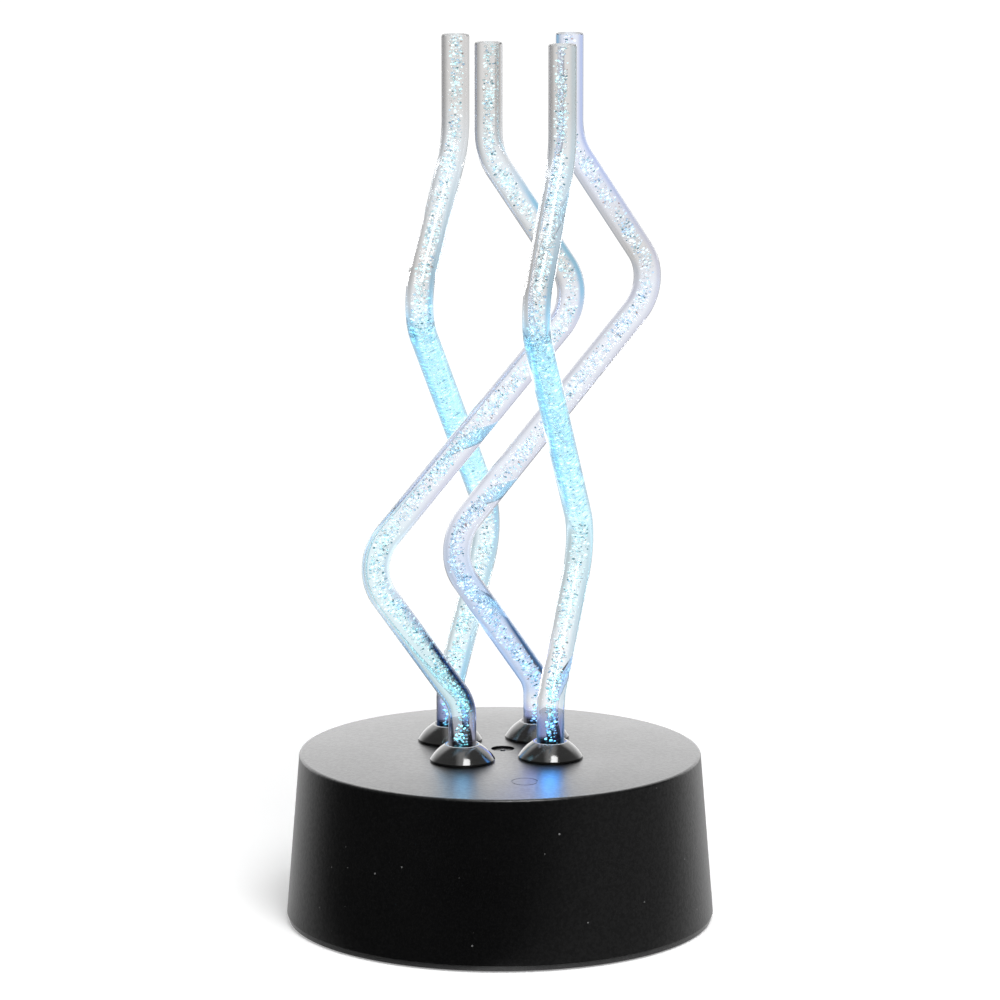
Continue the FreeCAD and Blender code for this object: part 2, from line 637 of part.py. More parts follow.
def rod(name):
    """Clear rod: upright out of its collar, out, across, back, and upright again at the top."""
    foot_place = rod_place(name)
    offsets = ((0.0, 0.0),) + ROD_OFFSETS[name]
    points = [foot_place + UP * ROD_BOTTOM_Z]
    for (x, y), level in zip(offsets, BEND_HEIGHTS):
        points.append(foot_place + Vector(x, y, SEAT_Z + level))
    points.append(foot_place + Vector(*ROD_OFFSETS[name][-1], SEAT_Z + ROD_TOP_HEIGHT))
    shape = bent_rod(points, BEND_RADII, ROD_R)
    top_z = SEAT_Z + ROD_TOP_HEIGHT
    top_edge = [e for e in shape.Edges if abs(e.BoundBox.ZMin - top_z) < TOLERANCE]
    return shape.makeChamfer(ROD_END_CHAMFER, top_edge)


def collar(place):
    """Domed collar with the spigot that passes the housing and carries the rod's end on a lip."""
    crown_z = SEAT_Z + COLLAR_HEIGHT
    lip_z = SEAT_Z + COLLAR_LIP
    mouth_r = SPIGOT_BORE_R + COLLAR_MOUTH
    drop_r = COLLAR_R - COLLAR_CROWN_R
    drop_z = crown_z - lip_z
    bulge = COLLAR_BULGE_HEIGHT / math.hypot(drop_r, drop_z)
    shoulder = (COLLAR_CROWN_R + drop_r / 2 + bulge * drop_z, lip_z + drop_z / 2 + bulge * drop_r)
    body = turned([
        line((SPIGOT_BORE_R, ROD_BOTTOM_Z), (SPIGOT_BORE_R, crown_z - COLLAR_MOUTH)),
        line((SPIGOT_BORE_R, crown_z - COLLAR_MOUTH), (mouth_r, crown_z)),
        line((mouth_r, crown_z), (COLLAR_CROWN_R, crown_z)),
        arc((COLLAR_CROWN_R, crown_z), shoulder, (COLLAR_R, lip_z)),
        line((COLLAR_R, lip_z), (COLLAR_R, SEAT_Z)),
        line((COLLAR_R, SEAT_Z), (SPIGOT_R, SEAT_Z)),
        line((SPIGOT_R, SEAT_Z), (SPIGOT_R, SPIGOT_BOTTOM_Z)),
        line((SPIGOT_R, SPIGOT_BOTTOM_Z), (LIGHT_HOLE_R, SPIGOT_BOTTOM_Z)),
        line((LIGHT_HOLE_R, SPIGOT_BOTTOM_Z), (LIGHT_HOLE_R, ROD_BOTTOM_Z)),
        line((LIGHT_HOLE_R, ROD_BOTTOM_Z), (SPIGOT_BORE_R, ROD_BOTTOM_Z)),
    ])
    body.translate(place)
    return body


def collar_nut(place):
    """Hexagonal nut that clamps a collar from inside the housing."""
    corner_r = NUT_FLATS / math.sqrt(3)
    corners = [place + corner for corner in around(6, corner_r)]
    corners = [Vector(corner.x, corner.y, CEILING_Z - NUT_THICKNESS) for corner in corners]
    hexagon = Part.Face(Part.makePolygon(corners + corners[:1])).extrude(UP * NUT_THICKNESS)
    return hexagon.cut(drum(SPIGOT_R + NUT_THREAD_GAP, 0, SEAT_Z, place))


def led(place):
    """Clear round LED with its flange on the board."""
    shoulder_z = LED_BOARD_TOP_Z + LED_HEIGHT - LED_R
    flange = drum(LED_FLANGE_R, LED_BOARD_TOP_Z, LED_BOARD_TOP_Z + LED_FLANGE_HEIGHT, place)
    body = drum(LED_R, LED_BOARD_TOP_Z, shoulder_z, place)
    dome = Part.makeSphere(LED_R, place + UP * shoulder_z)
    return joined([flange, body, dome])


def led_board():
    """Round board on the four posts."""
    board = drum(LED_BOARD_R, LED_BOARD_Z, LED_BOARD_TOP_Z)
    holes = [drum(SMALL_SHANK_R + SCREW_CLEARANCE, 0, SEAT_Z, place) for place in led_post_places()]
    return board.cut(Part.makeCompound(holes))


# The electronics at the back

def control_board():
    """Board screwed up against its two posts."""
    board = box((-CONTROL_LENGTH / 2, CONTROL_FRONT_Y, CONTROL_Z),
                (CONTROL_LENGTH / 2, CONTROL_BACK_Y, CONTROL_TOP_Z))
    holes = [drum(SMALL_SHANK_R + SCREW_CLEARANCE, 0, SEAT_Z, place) for place in control_post_places()]
    return board.cut(Part.makeCompound(holes))


def controller_chip():
    """Colour-cycling controller, flat on the board."""
    width, depth, height = CHIP_SIZE
    middle_y = CONTROL_FRONT_Y + CHIP_INSET
    return box((-width / 2, middle_y - depth / 2, CONTROL_TOP_Z),
               (width / 2, middle_y + depth / 2, CONTROL_TOP_Z + height))


def capacitor():
    """Upright smoothing capacitor."""
    place = Vector(0, CONTROL_BACK_Y - CAPACITOR_INSET, 0)
    return drum(CAPACITOR_R, CONTROL_TOP_Z, CONTROL_TOP_Z + CAPACITOR_HEIGHT, place)


def power_button():
    """Round button in the back wall, held in by its flange."""
    cap = barrel(BUTTON_R, BUTTON_X, FLANGE_FRONT_Y, BUTTON_FRONT_Y)
    front_edge = [e for e in cap.Edges if abs(e.BoundBox.YMin - BUTTON_FRONT_Y) < TOLERANCE]
    cap = cap.makeFillet(BUTTON_EDGE_R, front_edge)
    return joined([cap, barrel(BUTTON_FLANGE_R, BUTTON_X, FLANGE_BACK_Y, FLANGE_FRONT_Y)])


def switch_plunger():
    """Plunger of the switch, which the button's back pushes."""
    return barrel(PLUNGER_R, BUTTON_X, SWITCH_FRONT_Y - PLUNGER_HIDDEN, FLANGE_BACK_Y)


def switch_body():
    """Push switch on the board, bored for the plunger's whole travel."""
    width, depth = SWITCH_SIZE
    body = box((BUTTON_X - width / 2, SWITCH_FRONT_Y - depth, CONTROL_TOP_Z),
               (BUTTON_X + width / 2, SWITCH_FRONT_Y, AXIS_Z + width / 2))
    bore_end_y = SWITCH_FRONT_Y - PLUNGER_HIDDEN - BUTTON_TRAVEL - PLUNGER_END_GAP
    return body.cut(barrel(PLUNGER_R + PLUNGER_BORE_GAP, BUTTON_X, bore_end_y, SWITCH_FRONT_Y + MARGIN))


def power_inlet():
    """Barrel socket on the board, its nose in the wall and its pin in its bore."""
    block = box((INLET_X - INLET_WIDTH / 2, PAD_FACE_Y - INLET_BODY_LENGTH, CONTROL_TOP_Z),
                (INLET_X + INLET_WIDTH / 2, PAD_FACE_Y, CONTROL_TOP_Z + INLET_HEIGHT))
    nose = barrel(INLET_NOSE_R, INLET_X, PAD_FACE_Y, INLET_FACE_Y)
    bore_end_y = INLET_FACE_Y - INLET_BORE_DEPTH
    bore = barrel(INLET_BORE_R, INLET_X, bore_end_y, INLET_FACE_Y)
    pin = barrel(INLET_PIN_R, INLET_X, bore_end_y, INLET_FACE_Y - INLET_PIN_RECESS)
    return joined([block, nose]).cut(bore.cut(pin))


# The leads

def battery_lead(pole):
    """Lead from a contact's tail over the bay's roof to the control board's underside."""
    side, row = tail_places()[pole]
    tail_x = BAY_HALF_LENGTH - CONTACT_THICKNESS
    pad_y = CONTROL_FRONT_Y + BATTERY_PAD_INSET
    points = [
        Vector(side * tail_x, row, LEAD_Z),
        Vector(side * LEAD_CORNER_X, row, LEAD_Z),
        Vector(side * BATTERY_PAD_X, LEAD_ROOF_Y, LEAD_Z),
        Vector(side * BATTERY_PAD_X, pad_y, LEAD_Z),
        Vector(side * BATTERY_PAD_X, pad_y, CONTROL_Z),
    ]
    return bent_rod(points, [LEAD_BEND_R] * 3, LEAD_R)


def led_leads():
    """Flat row of four leads from the control board up to the LED board."""
    back_y = CONTROL_FRONT_Y + LED_LEAD_INSET
    leads = []
    for k in range(LED_LEAD_COUNT):
        x = (k - (LED_LEAD_COUNT - 1) / 2) * LED_LEAD_PITCH
        points = [
            Vector(x, back_y, CONTROL_TOP_Z),
            Vector(x, back_y, CONTROL_TOP_Z + LED_LEAD_RISE),
            Vector(x, LED_LEAD_FRONT_Y, LED_BOARD_Z - LED_LEAD_DROP),
            Vector(x, LED_LEAD_FRONT_Y, LED_BOARD_Z),
        ]
        leads.append(bent_rod(points, [LED_LEAD_BEND_R] * 2, LEAD_R))
    return leads


def all_nodes():
    """Every node's name with its shape; identical fasteners are separate solids in one node."""
    rows = cell_rows()
    nodes = {
        "base_shell": base_shell(),
        "bottom_cover": bottom_cover(),
        "battery_door": battery_door(),
        "contact_positive": contact(1, dimple_rows=[rows["front"]], tail_row=rows["front"]),
        "contact_negative": contact(-1, leaf_rows=[rows["back"]], tail_row=rows["back"]),
        "contact_bridge_front": contact(-1, [rows["front"]], [rows["middle"]]),
        "contact_bridge_back": contact(1, [rows["middle"]], [rows["back"]]),
        "led_board": led_board(),
        "control_board": control_board(),
        "controller_chip": controller_chip(),
        "capacitor": capacitor(),
        "switch_body": switch_body(),
        "switch_plunger": switch_plunger(),
        "power_button": power_button(),
        "power_inlet": power_inlet(),
        "battery_lead_positive": battery_lead("positive"),
        "battery_lead_negative": battery_lead("negative"),
        "led_leads": Part.makeCompound(led_leads()),
    }
    for k, name in enumerate(CELL_NAMES):
        nodes["battery_cell_" + name] = cell(rows[name], 1 if k % 2 == 0 else -1)
    for name in ROD_OFFSETS:
        place = rod_place(name)
        nodes["rod_" + name] = rod(name)
        nodes["collar_" + name] = collar(place)
        nodes["led_" + name] = led(place)
    for name, place in zip(("right", "back", "left", "front"), foot_places()):
        nodes["foot_" + name] = foot(place)
    nodes["collar_nuts"] = Part.makeCompound([collar_nut(rod_place(name)) for name in ROD_OFFSETS])
    cover_screw = (HEAD_SEAT_Z, SCREW_HEAD_R, SCREW_HEAD_HEIGHT, SCREW_SHANK_R, SCREW_LENGTH)
    board_screw = (SMALL_HEAD_R, SMALL_HEAD_HEIGHT, SMALL_SHANK_R, SMALL_LENGTH)
    nodes["cover_screws"] = Part.makeCompound([screw(p, *cover_screw) for p in cover_screw_places()])
    nodes["led_board_screws"] = Part.makeCompound(
        [screw(p, LED_BOARD_Z, *board_screw) for p in led_post_places()])
    nodes["control_board_screws"] = Part.makeCompound(
        [screw(p, CONTROL_Z, *board_screw) for p in control_post_places()])
    return nodes


os.makedirs("parts", exist_ok=True)
for node_name, shape in all_nodes().items():
    single = shape.Solids[0] if len(shape.Solids) == 1 else shape
    single.exportStep(f"parts/{node_name}.step")
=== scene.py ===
import math
import bpy
import numpy as np
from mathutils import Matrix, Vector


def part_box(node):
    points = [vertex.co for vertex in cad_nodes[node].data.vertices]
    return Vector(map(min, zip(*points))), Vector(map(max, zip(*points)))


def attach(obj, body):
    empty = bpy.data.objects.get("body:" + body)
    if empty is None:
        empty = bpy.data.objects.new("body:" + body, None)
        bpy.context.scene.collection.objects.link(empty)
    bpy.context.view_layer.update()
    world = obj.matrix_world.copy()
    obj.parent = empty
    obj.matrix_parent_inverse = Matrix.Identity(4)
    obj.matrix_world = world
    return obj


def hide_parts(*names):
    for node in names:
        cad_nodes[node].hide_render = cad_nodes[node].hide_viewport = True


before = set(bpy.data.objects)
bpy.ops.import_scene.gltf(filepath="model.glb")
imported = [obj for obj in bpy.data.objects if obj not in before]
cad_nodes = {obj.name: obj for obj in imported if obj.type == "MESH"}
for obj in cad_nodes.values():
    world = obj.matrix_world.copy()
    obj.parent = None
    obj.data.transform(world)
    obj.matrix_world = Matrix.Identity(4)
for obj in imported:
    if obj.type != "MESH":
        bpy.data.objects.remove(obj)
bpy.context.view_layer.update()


# ----------------------------------------------------------
# Camera
# A long lens stands about two metres in front of the lamp and looks a little down on it, so that the round
# top of the base shows as a shallow oval and the four rods cross behind each other.

def placed(name, data):
    """A new object that holds the data, linked to the scene."""
    made = bpy.data.objects.new(name, data)
    bpy.context.scene.collection.objects.link(made)
    return made


camera_distance = 1.963
camera_height = 0.5322
camera_dip = math.radians(10.9)
lens_mm = 200.4
sensor_mm = 36.0

lens = bpy.data.cameras.new("camera")
lens.lens = lens_mm
lens.sensor_width = sensor_mm
camera = placed("camera", lens)
camera.location = (0.0, -camera_distance, camera_height)
camera.rotation_euler = (math.pi / 2 - camera_dip, 0.0, 0.0)
bpy.context.scene.camera = camera
bpy.context.scene.view_settings.view_transform = "Standard"


# ----------------------------------------------------------
# Studio: floor, surroundings and lamp
# A wide pale floor and a white surround. Gloss and clear pieces see a studio that is white behind the lamp
# and in the four main directions, greyer between them, dark in front at table level and grey overhead. One
# tall softbox stands above the front.

def feed(tree, socket, value):
    """Links another node's output to a socket, or sets its value. Colours are three numbers and opaque."""
    if isinstance(value, bpy.types.NodeSocket):
        tree.links.new(value, socket)
    else:
        socket.default_value = (*value, 1.0) if socket.type == "RGBA" else value


def add_node(tree, kind, inputs=None, **settings):
    """A node in the tree with its settings, and its inputs set or linked."""
    made = tree.nodes.new(kind)
    for name, value in settings.items():
        setattr(made, name, value)
    for name, value in (inputs or {}).items():
        feed(tree, made.inputs[name], value)
    return made


def maths(tree, operation, first, second=0.0, third=0.0):
    """The output of one sum on numbers."""
    return add_node(tree, "ShaderNodeMath", {0: first, 1: second, 2: third}, operation=operation).outputs[0]


def vector_maths(tree, operation, first, second=(0.0, 0.0, 0.0)):
    """The output of one sum on vectors."""
    return add_node(tree, "ShaderNodeVectorMath", {0: first, 1: second}, operation=operation).outputs[0]


def scaled(tree, vector, scale):
    """A vector or a colour times a number."""
    return add_node(tree, "ShaderNodeVectorMath", {0: vector, "Scale": scale}, operation="SCALE").outputs[0]


def length_of(tree, vector):
    """The length of a vector."""
    return add_node(tree, "ShaderNodeVectorMath", {0: vector}, operation="LENGTH").outputs["Value"]


def axes_of(tree, vector):
    """The X, Y and Z of a vector."""
    return add_node(tree, "ShaderNodeSeparateXYZ", {0: vector}).outputs


def object_place(tree):
    """The place on the piece, in metres in the lamp's own frame."""
    return add_node(tree, "ShaderNodeTexCoord").outputs["Object"]


def blend(tree, share, first, second):
    """A number between two others, by its share of the second."""
    return add_node(tree, "ShaderNodeMix", {"Factor": share, "A": first, "B": second}).outputs["Result"]


def colour_mix(tree, share, first, second):
    """A colour between two others, by its share of the second."""
    mix = add_node(tree, "ShaderNodeMix", data_type="RGBA")
    for socket, value in zip((mix.inputs[0], mix.inputs[6], mix.inputs[7]), (share, first, second)):
        feed(tree, socket, value)
    return mix.outputs[2]


def smooth_step(tree, value, low, high):
    """0 below low, 1 above high, with a smooth rise between."""
    inputs = {"Value": value, "From Min": low, "From Max": high}
    return add_node(tree, "ShaderNodeMapRange", inputs, interpolation_type="SMOOTHSTEP").outputs["Result"]


def new_group(name, inputs, outputs):
    """An empty node group with its sockets, its input node and its output node."""
    group = bpy.data.node_groups.new(name, "ShaderNodeTree")
    for socket_name, kind, value in inputs:
        socket = group.interface.new_socket(socket_name, in_out="INPUT", socket_type=kind)
        if value is not None:
            socket.default_value = value
    for socket_name, kind in outputs:
        group.interface.new_socket(socket_name, in_out="OUTPUT", socket_type=kind)
    return group, group.nodes.new("NodeGroupInput"), group.nodes.new("NodeGroupOutput")


corner_tones = {"left": 0.88, "right": 0.66}
front_tones = {"middle": 0.015, "flanks": 0.13, "high": 0.4}
back_tone = 2.5
ceiling_tones = {"through": 0.32, "middle": 2.0, "sides": 0.3, "back": 2.6}


def studio_tones():
    """Brightness by direction: Through is seen through clear pieces, Gloss is seen in glossy ones.

    The lobes of Through are 0.5 + 0.5 cos(4 azimuth), white along the four main directions.
    """
    group, given, result = new_group(
        "studio_tones",
        [("Direction", "NodeSocketVector", None)],
        [("Through", "NodeSocketFloat"), ("Gloss", "NodeSocketFloat")])
    x, y, z = axes_of(group, vector_maths(group, "NORMALIZE", given.outputs["Direction"]))
    off_middle = maths(group, "ABSOLUTE", x)
    turns = maths(group, "MULTIPLY", maths(group, "ARCTAN2", y, x), 4.0)
    lobes = maths(group, "MULTIPLY_ADD", maths(group, "COSINE", turns), 0.5, 0.5)
    corners = blend(group, smooth_step(group, x, -0.6, 0.9), corner_tones["left"], corner_tones["right"])
    through = blend(group, smooth_step(group, lobes, 0.1, 0.85), corners, 1.0)
    flank = smooth_step(group, off_middle, 0.35, 0.95)
    low_front = blend(group, flank, front_tones["middle"], front_tones["flanks"])
    front = blend(group, smooth_step(group, z, 0.28, 0.6), low_front, front_tones["high"])
    gloss = blend(group, smooth_step(group, y, 0.34, 0.88), front, back_tone)
    sideways = smooth_step(group, off_middle, 0.08, 0.36)
    near_ceiling = blend(group, sideways, ceiling_tones["middle"], ceiling_tones["sides"])
    overhead = blend(group, smooth_step(group, y, 0.32, 0.62), near_ceiling, ceiling_tones["back"])
    ceiling = smooth_step(group, z, 0.36, 0.7)
    group.links.new(blend(group, ceiling, through, ceiling_tones["through"]), result.inputs["Through"])
    group.links.new(blend(group, ceiling, gloss, overhead), result.inputs["Gloss"])
    return group


studio = studio_tones()
even_light = 0.5
white = (1.0, 1.0, 1.0)

world = bpy.data.worlds.new("studio")
bpy.context.scene.world = world
world.use_nodes = True
tree = world.node_tree
tree.nodes.clear()
heading = add_node(tree, "ShaderNodeTexCoord").outputs["Generated"]
tones = add_node(tree, "ShaderNodeGroup", node_tree=studio)
tree.links.new(heading, tones.inputs["Direction"])
path = add_node(tree, "ShaderNodeLightPath").outputs
level = blend(tree, path["Is Glossy Ray"], even_light, tones.outputs["Gloss"])
level = blend(tree, path["Is Transmission Ray"], level, tones.outputs["Through"])
level = blend(tree, path["Is Camera Ray"], level, 1.0)
sky = add_node(tree, "ShaderNodeBackground", {"Color": white, "Strength": level})
add_node(tree, "ShaderNodeOutputWorld", {"Surface": sky.outputs[0]})


def blank_material(name):
    """A material with an empty node tree."""
    material = bpy.data.materials.new(name)
    material.use_nodes = True
    material.node_tree.nodes.clear()
    return material, material.node_tree


def finish_material(tree, inputs):
    """Adds the Principled BSDF with its inputs, and the output."""
    shader = add_node(tree, "ShaderNodeBsdfPrincipled", inputs)
    add_node(tree, "ShaderNodeOutputMaterial", {"Surface": shader.outputs["BSDF"]})


def new_object(name, vertices, faces, smooth_angle=None):
    """A mesh object of vertices and faces given as arrays, smooth but for edges sharper than smooth_angle."""
    mesh = bpy.data.meshes.new(name)
    mesh.from_pydata(vertices.tolist(), [], [face for part in faces for face in part.tolist()])
    mesh.update()
    if smooth_angle is not None:
        mesh.polygons.foreach_set("use_smooth", np.ones(len(mesh.polygons), bool))
        mesh.set_sharp_from_angle(angle=smooth_angle)
    return placed(name, mesh)


floor_half_width = 6.0
floor_tone = 0.86
near_lift = 0.3
far_lift = 0.65
lift_reach = (0.1, 1.3)
floor_gloss = 0.33
right_gloss = 0.3
mirror_middle = (0.0, -0.09, 0.0)
# A painted shadow, tinted by the LEDs' light, on the floor that the rods show near the base
shadow_and_spill_colour = (0.015, 0.04, 0.15)
shadow_reach = (0.10, 0.22)

corners = np.array([[-1, -1, 0], [1, -1, 0], [1, 1, 0], [-1, 1, 0]]) * floor_half_width
floor = new_object("floor", corners, [np.array([[0, 1, 2, 3]])])
material, tree = blank_material("pale_floor")
place = object_place(tree)
bearing = vector_maths(tree, "NORMALIZE", vector_maths(tree, "SUBTRACT", place, mirror_middle))
tones = add_node(tree, "ShaderNodeGroup", {"Direction": bearing}, node_tree=studio)
path = add_node(tree, "ShaderNodeLightPath").outputs
distance = length_of(tree, place)
lift = blend(tree, smooth_step(tree, distance, *lift_reach), near_lift, far_lift)
paper = add_node(tree, "ShaderNodeBsdfPrincipled", {
    "Base Color": (floor_tone,) * 3,
    "Roughness": 0.9,
    "Specular IOR Level": 0.0,
    "Emission Color": white,
    "Emission Strength": maths(tree, "MULTIPLY", path["Is Camera Ray"], lift)})
rightward = smooth_step(tree, axes_of(tree, bearing)["X"], 0.3, 0.95)
right_share = maths(tree, "MULTIPLY", rightward, right_gloss)
mirrored = maths(tree, "MULTIPLY_ADD", tones.outputs["Gloss"], floor_gloss, right_share)
seen_level = blend(tree, path["Is Transmission Ray"], mirrored, tones.outputs["Through"])
# Painted shadow: seen through the rods, the floor is navy within 0.1 m of the middle, fading to white by 0.22
# m
away = smooth_step(tree, distance, *shadow_reach)
lit = maths(tree, "MAXIMUM", away, maths(tree, "SUBTRACT", 1.0, path["Is Transmission Ray"]))
seen_colour = colour_mix(tree, lit, shadow_and_spill_colour, white)
seen = add_node(tree, "ShaderNodeEmission", {"Color": seen_colour, "Strength": seen_level})
seen_share = maths(tree, "MAXIMUM", path["Is Glossy Ray"], path["Is Transmission Ray"])
mixed = add_node(tree, "ShaderNodeMixShader", {0: seen_share, 1: paper.outputs[0], 2: seen.outputs[0]})
add_node(tree, "ShaderNodeOutputMaterial", {"Surface": mixed.outputs[0]})
floor.data.materials.append(material)

softbox_target = np.array([0.0, 0.0, 0.15])
softbox_distance = 1.4
softbox_rise = math.radians(51.0)
softbox_side = 0.3
softbox_size = (0.48, 0.9)
softbox_power = 17.0

softbox = bpy.data.lights.new("softbox", "AREA")
softbox.shape = "RECTANGLE"
softbox.size, softbox.size_y = softbox_size
softbox.energy = softbox_power
lamp = placed("softbox", softbox)
lamp.location = (
    softbox_side,
    softbox_target[1] - softbox_distance * math.cos(softbox_rise),
    softbox_target[2] + softbox_distance * math.sin(softbox_rise))
lamp.rotation_euler = (math.pi / 2 - softbox_rise, 0.0, 0.0)


# ----------------------------------------------------------
# Housing
# The tapered shell is one moulding of black ABS with a fine spark-eroded grain, the same grain that its
# battery door has. Four screws hold it to the bottom cover from below.

def noise(tree, place, scale, detail, roughness=0.5):
    """Smooth noise from 0 to 1, in features of about one over the scale."""
    inputs = {"Vector": place, "Scale": scale, "Detail": detail, "Roughness": roughness}
    return add_node(tree, "ShaderNodeTexNoise", inputs).outputs[0]


def bumped(tree, height, depth, strength=1.0, **more):
    """The surface's normal, tilted by a height from 0 to 1 that stands for the depth in metres."""
    inputs = {"Height": height, "Strength": strength, "Distance": depth, **more}
    return add_node(tree, "ShaderNodeBump", inputs).outputs["Normal"]


def fine_grain():
    """Moulded grain: Height is noise at the grain's size, Cloud a slow drift of gloss at about 25 mm."""
    group, given, result = new_group(
        "fine_grain",
        [("Place", "NodeSocketVector", None), ("Grain Size", "NodeSocketFloat", 0.0004)],
        [("Height", "NodeSocketFloat"), ("Cloud", "NodeSocketFloat")])
    scale = maths(group, "DIVIDE", 1.0, given.outputs["Grain Size"])
    place = given.outputs["Place"]
    group.links.new(noise(group, place, scale, 3.0, roughness=0.7), result.inputs["Height"])
    group.links.new(noise(group, place, 40.0, 3.0), result.inputs["Cloud"])
    return group


def dust_specks():
    """Scattered specks: a point in each cell about Spacing wide, kept in a share of the cells."""
    group, given, result = new_group(
        "dust_specks",
        [("Place", "NodeSocketVector", None), ("Spacing", "NodeSocketFloat", 0.005),
         ("Size", "NodeSocketFloat", 0.0004), ("Share", "NodeSocketFloat", 0.3)],
        [("Speck", "NodeSocketFloat")])
    scale = maths(group, "DIVIDE", 1.0, given.outputs["Spacing"])
    cells = add_node(group, "ShaderNodeTexVoronoi", {"Vector": given.outputs["Place"], "Scale": scale})
    picked = add_node(group, "ShaderNodeSeparateColor", {0: cells.outputs["Color"]}).outputs
    reach = maths(group, "MULTIPLY", given.outputs["Size"], maths(group, "MULTIPLY", scale, picked["Green"]))
    near = maths(group, "LESS_THAN", cells.outputs["Distance"], reach)
    kept = maths(group, "LESS_THAN", picked["Red"], given.outputs["Share"])
    group.links.new(maths(group, "MULTIPLY", near, kept), result.inputs["Speck"])
    return group


grain_group = fine_grain()
dust_group = dust_specks()
dust_colour = (0.16, 0.16, 0.16)
dust_share = 0.25
dust_dulling = 0.3
hollow_specular = 0.83
crest_specular = 0.34


def moulded_plastic(name, colour, dark_colour, roughness, roughness_drift, grain_size, grain_depth, specular):
    """A moulded plastic with grain, a slow drift of tone and gloss, and a few specks of dust."""
    material, tree = blank_material(name)
    place = object_place(tree)
    grain = add_node(tree, "ShaderNodeGroup", node_tree=grain_group)
    feed(tree, grain.inputs["Place"], place)
    feed(tree, grain.inputs["Grain Size"], grain_size)
    dust = add_node(tree, "ShaderNodeGroup", node_tree=dust_group)
    feed(tree, dust.inputs["Place"], place)
    feed(tree, dust.inputs["Share"], dust_share)
    cloud, height, speck = grain.outputs["Cloud"], grain.outputs["Height"], dust.outputs["Speck"]
    gloss = maths(tree, "MULTIPLY_ADD", cloud, roughness_drift, roughness - roughness_drift / 2)
    crest = smooth_step(tree, height, 0.4, 0.6)
    finish_material(tree, {
        "Base Color": colour_mix(tree, speck, colour_mix(tree, cloud, dark_colour, colour), dust_colour),
        "Roughness": maths(tree, "ADD", gloss, maths(tree, "MULTIPLY", speck, dust_dulling)),
        "Specular IOR Level": maths(
            tree, "MULTIPLY_ADD", crest, specular * crest_specular, specular * hollow_specular),
        "Normal": bumped(tree, height, grain_depth)})
    return material


def dress(material, *names):
    """Gives a material to CAD nodes, in their own material slots."""
    for name in names:
        for slot in cad_nodes[name].material_slots:
            slot.material = material


black_abs = moulded_plastic(
    "grained_black_abs", (0.0026, 0.0026, 0.0028), (0.0016, 0.0016, 0.0018),
    roughness=0.31, roughness_drift=0.05, grain_size=0.0015, grain_depth=0.00007, specular=0.42)
dress(black_abs, "base_shell", "battery_door")


# ----------------------------------------------------------
# Bottom cover
# The plate that closes the housing from below is moulded in the same black ABS with a smoother rim, which
# shows as a thin shiny line under the housing.

smooth_abs = moulded_plastic(
    "smooth_black_abs", (0.036, 0.036, 0.037), (0.028, 0.028, 0.029),
    roughness=0.24, roughness_drift=0.05, grain_size=0.0006, grain_depth=0.000002, specular=0.55)
dress(smooth_abs, "bottom_cover")


# ----------------------------------------------------------
# Feet
# Four black rubber pads, glued in shallow pockets of the cover, grip the table.

rubber = moulded_plastic(
    "foot_rubber", (0.02,) * 3, (0.014,) * 3,
    roughness=0.75, roughness_drift=0.1, grain_size=0.0008, grain_depth=0.00002, specular=0.3)
dress(rubber, "foot_front", "foot_right", "foot_back", "foot_left")


# ----------------------------------------------------------
# Collars
# A polished black dome at the foot of each rod, moulded in one piece with the threaded spigot that passes the
# housing. The rod is glued in its bore, and a nut clamps the spigot from inside.

collar_profile = {
    "bore_r": 0.0051, "spigot_r": 0.0065, "light_r": 0.0035, "crown_r": 0.0063, "outer_r": 0.0117,
    "mouth": 0.0007, "lip": 0.0008, "height": 0.006, "bulge": 0.00042, "lip_round": 0.00025}
collar_steps = 96
polish = 0.11
scratch_scale = (180.0, 180.0, 2600.0)
scratch_reach = (0.62, 0.7)
scratch_dulling = 0.12


def collar_outline(seat_z, rod_bottom_z, spigot_bottom_z):
    """Radius and height round a collar's section: straight lines, a dome arc and a quarter round as lip."""
    p = collar_profile
    lip_z = seat_z + p["lip"]
    crown_z = seat_z + p["height"]
    drop = np.array([p["outer_r"] - p["crown_r"], lip_z - crown_z])
    half_chord = np.hypot(*drop) / 2
    dome_r = (half_chord ** 2 + p["bulge"] ** 2) / (2 * p["bulge"])
    middle = np.array([p["crown_r"], crown_z]) + drop / 2
    inward = np.array([drop[1], -drop[0]]) / (2 * half_chord)
    centre = middle + inward * (dome_r - p["bulge"])
    reach = math.asin(half_chord / dome_r)
    bearing = math.atan2(*(middle - centre)[::-1])
    turn = bearing + reach * np.linspace(1, -1, 25)[1:-1]
    dome = centre + dome_r * np.column_stack([np.cos(turn), np.sin(turn)])
    quarter = np.linspace(0, math.pi / 2, 5)
    round_r = p["lip_round"]
    lip = np.column_stack([p["outer_r"] - round_r + round_r * np.cos(quarter),
                           seat_z + round_r - round_r * np.sin(quarter)])
    mouth = [[p["bore_r"], rod_bottom_z], [p["bore_r"], crown_z - p["mouth"]],
             [p["bore_r"] + p["mouth"], crown_z], [p["crown_r"], crown_z]]
    shoulder = [[p["outer_r"], lip_z]]
    spigot = [[p["spigot_r"], seat_z], [p["spigot_r"], spigot_bottom_z],
              [p["light_r"], spigot_bottom_z], [p["light_r"], rod_bottom_z]]
    return np.concatenate([mouth, dome, shoulder, lip, spigot])


